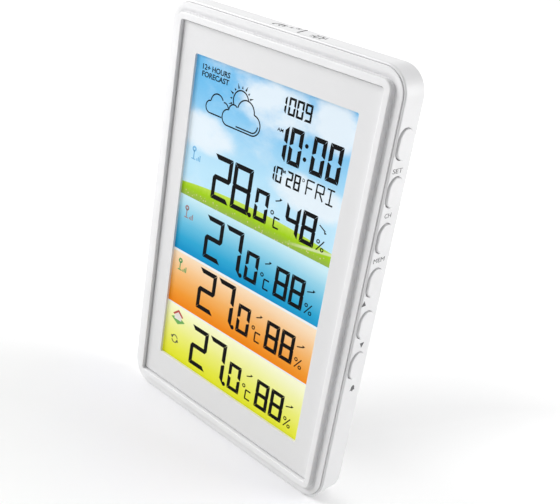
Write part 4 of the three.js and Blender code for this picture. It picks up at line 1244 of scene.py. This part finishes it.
class STATION_OT_rear_shell(bpy.types.Operator):
    """Rear shell with the battery bay, the leg's recess, vents and the hanging hole"""

    bl_idname = "station.rear_shell"
    bl_label = "Rear Shell"

    def execute(self, context):
        p, b = context.scene.station_case, context.scene.station_back
        door, leg = door_outline(), leg_outline()
        door_front = TOTAL_D - b.door_t
        leg_floor = TOTAL_D - b.leg_t - 2 * GAP
        bay = grown(door, GAP - b.door_ledge, 0.6 * MM)
        bay_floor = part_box("battery_1")[0].y - RIM_Y - GAP
        post = (bezel_high.y - RIM_Y + GAP, p.side_d - p.wall + 0.5 * MM)
        walls = [
            slab(grown(bay, b.bay_wall), (bay_floor - b.bay_wall, door_front), BACK),
            slab(grown(door, 1.3 * MM), (door_front - 2.1 * MM, door_front + 0.5 * MM), BACK),
            block(
                (leg.x0 - LEG_WALL, leg.x1 + LEG_WALL),
                (b.hump_z + 4 * MM, leg.y1 + GAP + 1.6 * MM),
                (leg_floor - 1.5 * MM, TOTAL_D - 1 * MM),
                BACK,
            ),
            *[rod(-x, z, POST_R, post, BACK) for x, z in screw_places()],
        ]
        shell = joined(rear_blank(), walls)

        through_back = (p.side_d - p.wall - 1 * MM, p.side_d)
        through_side = (-p.wall - 1 * MM, 0)
        hang_z = door.y1 + HANG_RISE
        slot = b.hang_slot_w / 2
        hang = Rect(-slot, slot, hang_z, hang_z + b.hang_rise + slot, slot)
        # room for a finger at the leg's foot and above the door
        at_leg = centred(0, leg.y0, 18 * MM, 6 * MM, 1.5 * MM)
        at_door = centred(0, door.y1 + 0.6 * MM, 12 * MM, 3.8 * MM, 1 * MM)
        holes = [
            slab(bay, (bay_floor, TOTAL_D + 1 * MM), BACK),
            flared(grown(door, GAP), (door_front - GAP, TOTAL_D), BACK),
            flared(grown(leg, GAP, 0.8 * MM), (leg_floor, TOTAL_D), BACK),
            flared(disc(0, hang_z, b.hang_head_r), (p.side_d, TOTAL_D), BACK, steps=10),
            flared(hang, (p.side_d, TOTAL_D), BACK, steps=8),
            flared(at_leg, (leg_floor + 1 * MM, TOTAL_D), BACK),
            flared(at_door, (door_front + 0.3 * MM, TOTAL_D), BACK),
        ]
        pocket = b.tab_w / 2 + GAP
        for x in (-b.tab_x, b.tab_x):
            holes.append(block(
                (x - pocket, x + pocket),
                (door.y0 - b.tab_l - 2 * MM, bay.y0 + 0.1 * MM),
                (door_front - 3 * MM, door_front - 0.2 * MM),
                BACK,
            ))
        sensor, buzzer, inlet = (middle(n) for n in ("humidity_sensor", "buzzer", "power_inlet"))
        for row in range(VENT_ROWS):
            vent = centred(MID_X - sensor.x, HEIGHT - VENT_TOP - row * VENT_PITCH, *VENT)
            holes.append(flared(vent, through_back, BACK, 0.2 * MM, 6))
        ring_places = [towards(60 * turn) * SOUND_RING for turn in range(6)]
        for way in (*ring_places, Vector((0, 0))):
            hole = disc(MID_X - buzzer.x + way.x, buzzer.z + way.y, SOUND_R)
            holes.append(flared(hole, through_back, BACK, 0.15 * MM, 5))
        for x, z in screw_places():
            well = (p.side_d - WELL_DEPTH, p.side_d)
            holes.append(flared(disc(-x, z, WELL_R), well, BACK, 0.3 * MM, 8))
        for name in KEYS:
            outline = key_outline(name, 1.2 * GAP, 0.18 * MM)
            holes.append(flared(outline, through_side, SIDE, 0.2 * MM))
        plug = disc(-inlet.y, inlet.z, PLUG_R)
        holes.append(flared(plug, through_side, INLET, 0.35 * MM, 8))
        shell = cut(shell, holes)
        piece("rear_shell", shell, shell_plastic(), "case", ["rear_cover"])
        return {"FINISHED"}


# ---- moving pieces ----

GRIP = (16 * MM, 1 * MM, 0.49 * MM)  # width, height and corner of a finger groove
GRIP_ROWS, GRIP_TOP, GRIP_PITCH = 4, 5.5 * MM, 2.4 * MM


class STATION_OT_keys(bpy.types.Operator):
    """Six pill-shaped keys on the side wall"""

    bl_idname = "station.keys"
    bl_label = "Side Keys"

    def execute(self, context):
        k = context.scene.station_keys
        flange = -context.scene.station_case.wall - GAP
        for name in KEYS:
            node = f"key_{name}"
            pill = key_outline(name)
            height = middle(node).z
            stem = disc(k.depth, height, k.stem_r)
            wing = centred(k.depth, height, k.flange_w, k.flange_h, 0.8 * MM)
            stations = [
                (stem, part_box(node)[0].x - MID_X - HALF_W),
                (stem, flange - k.flange_t),
                (wing, flange - k.flange_t),
                (wing, flange),
                (pill, flange),
                (pill, k.proud, k.edge),
            ]
            piece(f"side_{node}", solid(stations, SIDE), key_plastic(), node, [node])
        return {"FINISHED"}


class STATION_OT_battery_door(bpy.types.Operator):
    """Battery door with its tabs, catch and finger grooves"""

    bl_idname = "station.battery_door"
    bl_label = "Battery Door"

    def execute(self, context):
        b = context.scene.station_back
        door = door_outline()
        front = TOTAL_D - b.door_t
        back = front - GAP - 0.2 * MM
        neck = door.y0 + b.door_ledge - 2 * GAP
        panel = solid([(door, front, 0.15 * MM), (door, TOTAL_D, 0.35 * MM)], BACK)
        parts = []
        for x in (-b.tab_x, b.tab_x):
            x0, x1 = x - b.tab_w / 2, x + b.tab_w / 2
            parts.append(block(
                (x0 + 0.15 * MM, x1 - 0.15 * MM),
                (door.y0 + 0.3 * MM, neck - 0.15 * MM),
                (back - 0.9 * MM, front + 0.5 * MM),
                BACK,
            ))
            tab = (back - 1.1 * MM, back)
            parts.append(block((x0, x1), (door_low.z, neck), tab, BACK, 0.45 * MM, 0.2 * MM))
        catch = ((door.y1 - 2 * MM, door.y1 - 0.6 * MM), (front - 2 * MM, front + 0.5 * MM))
        parts.append(block((-b.tab_w, b.tab_w), *catch, BACK))
        grips = [
            flared(
                centred(0, door.y1 - GRIP_TOP - row * GRIP_PITCH, *GRIP),
                (TOTAL_D - 0.5 * MM, TOTAL_D), BACK, 0.15 * MM, 5,
            )
            for row in range(GRIP_ROWS)
        ]
        made = cut(joined(panel, parts), grips)
        piece("battery_cover", made, shell_plastic(), "battery_door", ["battery_door"])
        return {"FINISHED"}


class STATION_OT_leg(bpy.types.Operator):
    """Folding leg on two stub pins"""

    bl_idname = "station.leg"
    bl_label = "Folding Leg"

    def execute(self, context):
        b = context.scene.station_back
        leg = leg_outline()
        radius = b.leg_t / 2
        pin_z = leg_high.z - radius
        pin_depth = TOTAL_D - GAP - radius
        high = pin_depth + radius
        below = leg._replace(y1=pin_z)
        blade = solid([(below, pin_depth - radius, 0.3 * MM), (below, high, 0.4 * MM)], BACK)
        pin_ends = (leg.x0 - b.pin_l, leg.x1 + b.pin_l)
        barrel = rod(pin_depth, pin_z, radius, (leg.x0, leg.x1), ACROSS, 12, 0.2 * MM)
        pins = rod(pin_depth, pin_z, b.pin_r, pin_ends, ACROSS, 8, 0.2 * MM)
        dish = Rect(leg.x0 + 7 * MM, leg.x1 - 7 * MM, leg.y0 + 9 * MM, pin_z - 8 * MM, 3 * MM)
        hollow = flared(dish, (pin_depth - 1 * MM, high), BACK, 0.3 * MM)
        made = cut(joined(blade, [barrel, pins]), [hollow])
        piece("folding_leg", made, shell_plastic(), "stand_leg", ["stand_leg"])
        return {"FINISHED"}


# ---- screws and batteries ----

STEEL = ("screw_steel_finish", shade(196, 198, 202), 0.32, 900)
HEAD_T = 1.5 * MM  # height of a screw's head
CORE_R, THREAD_R, THREAD_PITCH = 0.85 * MM, 1.1 * MM, 0.7 * MM
CROSS = (1.55 * MM, 0.4 * MM)  # half the length and width of a slot of the cross recess


class STATION_OT_screws(bpy.types.Operator):
    """Case screws with rounded heads, cross recesses and threads"""

    bl_idname = "station.screws"
    bl_label = "Case Screws"

    def execute(self, context):
        for number in range(1, 5):
            node = f"case_screw_{number}"
            low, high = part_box(node)
            x, z = MID_X - middle(node).x, middle(node).z
            tip, top = low.y - RIM_Y, high.y - RIM_Y
            head_r = (high.x - low.x) / 2
            seat = top - HEAD_T
            stations = [(disc(x, z, 0.5 * MM), tip)]
            for turn in range(int((seat - tip) / THREAD_PITCH)):
                base = tip + (turn + 0.3) * THREAD_PITCH
                stations.append((disc(x, z, CORE_R), base))
                stations.append((disc(x, z, THREAD_R), base + 0.25 * MM))
            stations.append((disc(x, z, head_r), seat, 0.15 * MM))
            stations.append((disc(x, z, head_r * 0.96), top, 0.9 * MM))
            recess = (top - 0.9 * MM, top + 1 * MM)
            cross = [
                block((x - wide, x + wide), (z - tall, z + tall), recess, BACK, 0.1 * MM)
                for wide, tall in (CROSS, CROSS[::-1])
            ]
            made = cut(solid(stations, BACK, steps=7), cross)
            piece(f"screw_{number}", made, metal(*STEEL), "case", [node])
        return {"FINISHED"}


class STATION_OT_batteries(bpy.types.Operator):
    """Three cells with rolled ends and a nub"""

    bl_idname = "station.batteries"
    bl_label = "Batteries"

    def execute(self, context):
        for number in range(1, 4):
            node = f"battery_{number}"
            low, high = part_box(node)
            radius = (high.z - low.z) / 2
            size = high.x - low.x
            # every other cell lies the other way round
            side, start = (1, low.x) if number % 2 else (-1, high.x)
            along = Matrix(((0, 0, side, start), (side, 0, 0, RIM_Y), (0, 1, 0, 0), (0, 0, 0, 1)))
            x, z = side * middle(node).y, middle(node).z
            stations = [
                (disc(x, z, radius - 0.8 * MM), 0),
                (disc(x, z, radius - 0.3 * MM), 0.1 * MM, 0.1 * MM),
                (disc(x, z, radius), 0.4 * MM),
                (disc(x, z, radius), size - 1.5 * MM, 0.4 * MM),
                (disc(x, z, radius - 0.9 * MM), size - 1.1 * MM, 0.1 * MM),
                (disc(x, z, 2.2 * MM), size - 1.2 * MM),
                (disc(x, z, 2.2 * MM), size, 0.3 * MM),
            ]
            made = solid(stations, along, steps=12)
            piece(f"cell_{number}", made, cell_sleeve(), "case", [node])
        return {"FINISHED"}


# ---- signs printed on the case, drawn in millimetres ----

KEY_WORDS = [  # word, its middle, height above the foot and width
    ("SET", 7.8, 163.3, 6.6),
    ("CH", 7.75, 144.2, 4.4),
    ("MEM", 8.4, 124.3, 7.5),
]
BELL = [  # dome on a wider foot
    (-1.2, -0.9), (1.2, -0.9), (0.85, -0.3), (0.75, 0.7), (0.35, 1.3),
    (0, 1.5), (-0.35, 1.3), (-0.75, 0.7), (-0.85, -0.3),
]


def printed(name, parts):
    """Signs in the ink of the case."""
    dark = ink("ink_dark", tuple(finishes().ink))
    piece(name, gathered(parts), dark, "case")


class STATION_OT_key_signs(bpy.types.Operator):
    """Words and signs printed below the side keys"""

    bl_idname = "station.key_signs"
    bl_label = "Key Signs"

    def execute(self, context):
        parts = [
            lettering(text, x - width / 2, z - 1, 2, width, SIDE, 0)
            for text, x, z, width in KEY_WORDS
        ]
        signs = bmesh.new()
        for x, z, way in ((4.4, 104.9, 1), (9.35, 83.6, -1)):
            facet(signs, [(x - 1.5, z - way * 1.2), (x + 1.5, z - way * 1.2), (x, z + way * 1.3)])
        # bell and its clapper
        x, z = 9.55, 61.7
        facet(signs, [(x + 1.45 * dx, z + 1.1 * dz) for dx, dz in BELL])
        dot(signs, x, z - 1.25, 0.4)
        printed("key_signs", [*parts, flattened(signs, SIDE)])
        return {"FINISHED"}


class STATION_OT_top_signs(bpy.types.Operator):
    """Snooze and light signs over the touch area on top"""

    bl_idname = "station.top_signs"
    bl_label = "Top Signs"

    def execute(self, context):
        signs = bmesh.new()
        line = 0.8
        # sleeping moon, its two letters, a slash and a lamp with rays
        arc(signs, -5.8, 7.6, 2.6, line, -20, 250, 24)
        arc(signs, -3.9, 8.3, 1.9, line, 60, 200, 16)
        bar(signs, (4.4, 14.6), (8.0, 4.2), line)
        lamp = Vector((16.6, 8.0))
        arc(signs, *lamp, 2.0, line, 0, 360, 24)
        for index in range(8):
            way = towards(45 * index)
            bar(signs, tuple(lamp + way * 2.8), tuple(lamp + way * 3.9), line)
        letters = [
            lettering("z", -1.2, 8.8, 1.7, 1.8, TOP, 0.05),
            lettering("z", 1.1, 10.6, 2.2, 2.1, TOP, 0.05),
        ]
        printed("top_signs", [flattened(signs, TOP), *letters])
        return {"FINISHED"}


# ---- finishes of the frame's own nodes ----


class STATION_OT_inner_finishes(bpy.types.Operator):
    """Finishes of the pieces inside, whose shapes stay as they are"""

    bl_idname = "station.inner_finishes"
    bl_label = "Inner Finishes"

    def execute(self, context):
        dark, grey = shade(40, 40, 42), shade(96, 96, 98)
        cable, cable_edge = shade(172, 176, 180), shade(206, 208, 210)
        # each finish, and how the names of its nodes start
        given = [
            (picture_film(), ["colour_film"]),
            (translucent_sheet("guide_acrylic", shade(236, 244, 248)), ["light_guide"]),
            (translucent_sheet("reflector_film", shade(250, 250, 250)), ["reflector_sheet"]),
            (translucent_sheet("led_carrier", shade(240, 238, 224)), ["led_strip"]),
            (moulded_plastic("frame_plastic", shade(228, 228, 222), 0.5, 3e-6), ["backlight_frame"]),
            (striped("zebra_rubber", dark, grey, 0.1 * MM, 0.8, 1e-6), ["zebra_strip"]),
            (lacquered_board(), ["main_board", "switch_board", "receiver_module"]),
            (
                moulded_plastic("black_plastic", shade(34, 34, 36), 0.45, 3e-6),
                ["controller_chip", "humidity_sensor", "buzzer", "capacitor", "power_inlet", "tact_switch"],
            ),
            (
                metal("tinned_finish", shade(206, 208, 210), 0.3, 1500),
                ["crystal_can", "pressure_sensor", "touch_leaf", "contact"],
            ),
            (metal(*STEEL), ["board_screw"]),
            (metal("aerial_copper", shade(200, 120, 76), 0.35, 1200), ["receiver_antenna"]),
            (metal("touch_copper", shade(204, 128, 84), 0.4, 800), ["touch_pad"]),
            (wound_copper(), ["clock_antenna_coil"]),
            (moulded_plastic("ferrite", shade(58, 57, 60), 0.62, 6e-6), ["ferrite_rod"]),
            (striped("ribbon", cable, cable_edge, 0.5 * MM, 0.5, 4e-5), ["ribbon_cable"]),
        ]
        for name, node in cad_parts.items():
            for finish, starts in given:
                if name.startswith(tuple(starts)):
                    node.data.materials.clear()
                    node.data.materials.append(finish)
        return {"FINISHED"}


# ---- stage ----

AZIMUTH, ELEVATION, ROLL = 39.4, 23.05, -9.7  # of the view, in degrees
LENS, SENSOR = 57.8, 36  # in millimetres
DISTANCE = 0.3962
AIM = (21.6 * MM, 110.8 * MM)  # where the view's middle meets the rim plane

LAMPS = [  # name, place, side of the square and power
    ("front_light", (-1.05, -0.75, 0.9), 0.9, 19),
    ("side_light", (1.05, 0.8, 0.5), 0.8, 10),
]
FLOOR_HALF = 6.0  # half the side of the floor
VIEWER = (0.75, -0.66, 0)  # direction in which the surroundings are darkest
FAR_LIGHT, NEAR_LIGHT = 0.66, 0.12  # light of the surroundings behind the case and in front


class STATION_OT_stage(bpy.types.Operator):
    """Pale floor, soft light and the camera"""

    bl_idname = "station.stage"
    bl_label = "Stage"

    def execute(self, context):
        context.scene.view_settings.view_transform = "Standard"
        self.floor()
        self.world(context.scene)
        for lamp in LAMPS:
            self.lamp(*lamp)
        self.camera(context.scene)
        return {"FINISHED"}

    def floor(self):
        """Wide sheet of paper, with painted shade close to the case and painted light beside its key wall.
        """
        bm = bmesh.new()
        bmesh.ops.create_grid(bm, x_segments=1, y_segments=1, size=FLOOR_HALF)
        mesh = meshed(bm, "floor")
        made = placed("floor", mesh)
        s = Shader("floor_paper")
        grain = s.noise(40, 3)
        paper = s.output(
            "ShaderNodeBsdfPrincipled",
            inputs={"Base Color": s.mix(grain, (0.9, 0.9, 0.9), (0.91, 0.91, 0.91)), "Roughness": 0.9},
        )
        # Painted light and shade on the floor: its glow fades out close to the case, a painted shade round
        # its foot, and shows white far from it. Beside the key wall it is raised to white, painted light
        # over the front lamp's shadow. In front a little painted blue evens out the yellow light of the
        # display.
        x, y, _ = s.axes()
        reach = s.math("SQRT", x * x + y * y)
        # painted light: lifts the floor beside the key wall, over the front lamp's shadow
        beside = s.step(x - 0.4 * y, 0, 0.085) * s.step(y, -0.015, 0.01)
        # painted blue in front of the case, against the display's yellow light
        lit = s.step(0 - y, 0, 0.03) * (1 - s.step(reach, 0.03, 0.13))
        near = s.mix(lit, (0.05, 0.05, 0.05), (0.05, 0.05, 0.16))
        # painted shade close to the case, where the glow is weak, and painted light beside the key wall
        white = s.math("MAXIMUM", s.step(reach, 0.1, 0.5), 0.68 * beside)
        tone = s.mix(white, near, (1, 1, 1))
        glow = s.output("ShaderNodeEmission", inputs={"Color": tone, "Strength": 0.5})
        both = s.output("ShaderNodeAddShader", inputs={0: paper, 1: glow})
        shown = s.chosen(s.white_rays(), paper, both)
        s.node("ShaderNodeOutputMaterial", inputs={"Surface": shown})
        mesh.materials.append(s.material)

    def world(self, scene):
        """Soft light from all round, which shows as plain white."""
        scene.world = bpy.data.worlds.new("soft_sky")
        s = Shader("soft_sky", scene.world)
        inputs = {0: s.position, 1: VIEWER}
        facing = s.output("ShaderNodeVectorMath", {"operation": "DOT_PRODUCT"}, inputs, pin="Value")
        far, near, white = (
            s.output("ShaderNodeBackground", inputs={"Color": (1, 1, 1), "Strength": level})
            for level in (FAR_LIGHT, NEAR_LIGHT, 1)
        )
        soft = s.chosen(s.step(facing, -0.2, 0.8), far, near)
        shown = s.chosen(s.white_rays(), soft, white)
        s.node("ShaderNodeOutputWorld", inputs={"Surface": shown})

    def lamp(self, name, place, size, power):
        """Square lamp turned to the middle of the case."""
        data = bpy.data.lights.new(name, "AREA")
        data.shape = "SQUARE"
        data.size = size
        data.energy = power
        made = placed(name, data)
        made.location = place
        aim = Vector((0, 0, HEIGHT / 2)) - Vector(place)
        made.rotation_euler = aim.to_track_quat("-Z", "Y").to_euler()

    def camera(self, scene):
        """Camera at its distance from the aim, tilted by the roll."""
        elevation = math.radians(ELEVATION)
        across = towards(AZIMUTH - 90) * math.cos(elevation)
        back = Vector((*across, math.sin(elevation)))
        data = bpy.data.cameras.new("camera")
        data.lens = LENS
        data.sensor_width = SENSOR
        data.clip_start, data.clip_end = 0.01, 50
        made = placed("camera", data)
        made.location = Vector((AIM[0], RIM_Y, AIM[1])) + back * DISTANCE
        upright = (-back).to_track_quat("-Z", "Y")
        tilt = Matrix.Rotation(math.radians(-ROLL), 4, "Z").to_quaternion()
        made.rotation_mode = "QUATERNION"
        made.rotation_quaternion = upright @ tilt
        scene.camera = made


# ---- panel and registration ----

OPERATORS = (
    STATION_OT_stage,
    STATION_OT_front_shell,
    STATION_OT_face_plate,
    STATION_OT_display,
    STATION_OT_readings,
    STATION_OT_clock,
    STATION_OT_weather_sign,
    STATION_OT_row_signs,
    STATION_OT_rear_shell,
    STATION_OT_keys,
    STATION_OT_battery_door,
    STATION_OT_leg,
    STATION_OT_screws,
    STATION_OT_batteries,
    STATION_OT_key_signs,
    STATION_OT_top_signs,
    STATION_OT_inner_finishes,
)

GROUPS = {
    "station_case": CaseSizes,
    "station_back": BackSizes,
    "station_keys": KeySizes,
    "station_finishes": Finishes,
}


class STATION_PT_panel(bpy.types.Panel):
    """Sizes, colours and pieces of the weather station"""

    bl_idname = "STATION_PT_panel"
    bl_label = "Weather Station"
    bl_space_type = "VIEW_3D"
    bl_region_type = "UI"
    bl_category = "Station"

    def draw(self, context):
        """Shows each group of values and a button for each operator."""
        for group, kind in GROUPS.items():
            box = self.layout.box()
            values = getattr(context.scene, group)
            for name in kind.__annotations__:
                box.prop(values, name)
        for operator in OPERATORS:
            self.layout.operator(operator.bl_idname)


def register():
    """Registers the classes, and the sizes and colours of a scene."""
    for kind in (*GROUPS.values(), *OPERATORS, STATION_PT_panel):
        bpy.utils.register_class(kind)
    for name, kind in GROUPS.items():
        setattr(bpy.types.Scene, name, bpy.props.PointerProperty(type=kind))


def unregister():
    """Takes back what register() does."""
    for name in GROUPS:
        delattr(bpy.types.Scene, name)
    for kind in reversed((*GROUPS.values(), *OPERATORS, STATION_PT_panel)):
        bpy.utils.unregister_class(kind)


def main():
    """Makes every piece in order."""
    register()
    for operator in OPERATORS:
        getattr(bpy.ops.station, operator.bl_idname.split(".")[1])()


if __name__ == "__main__":
    main()
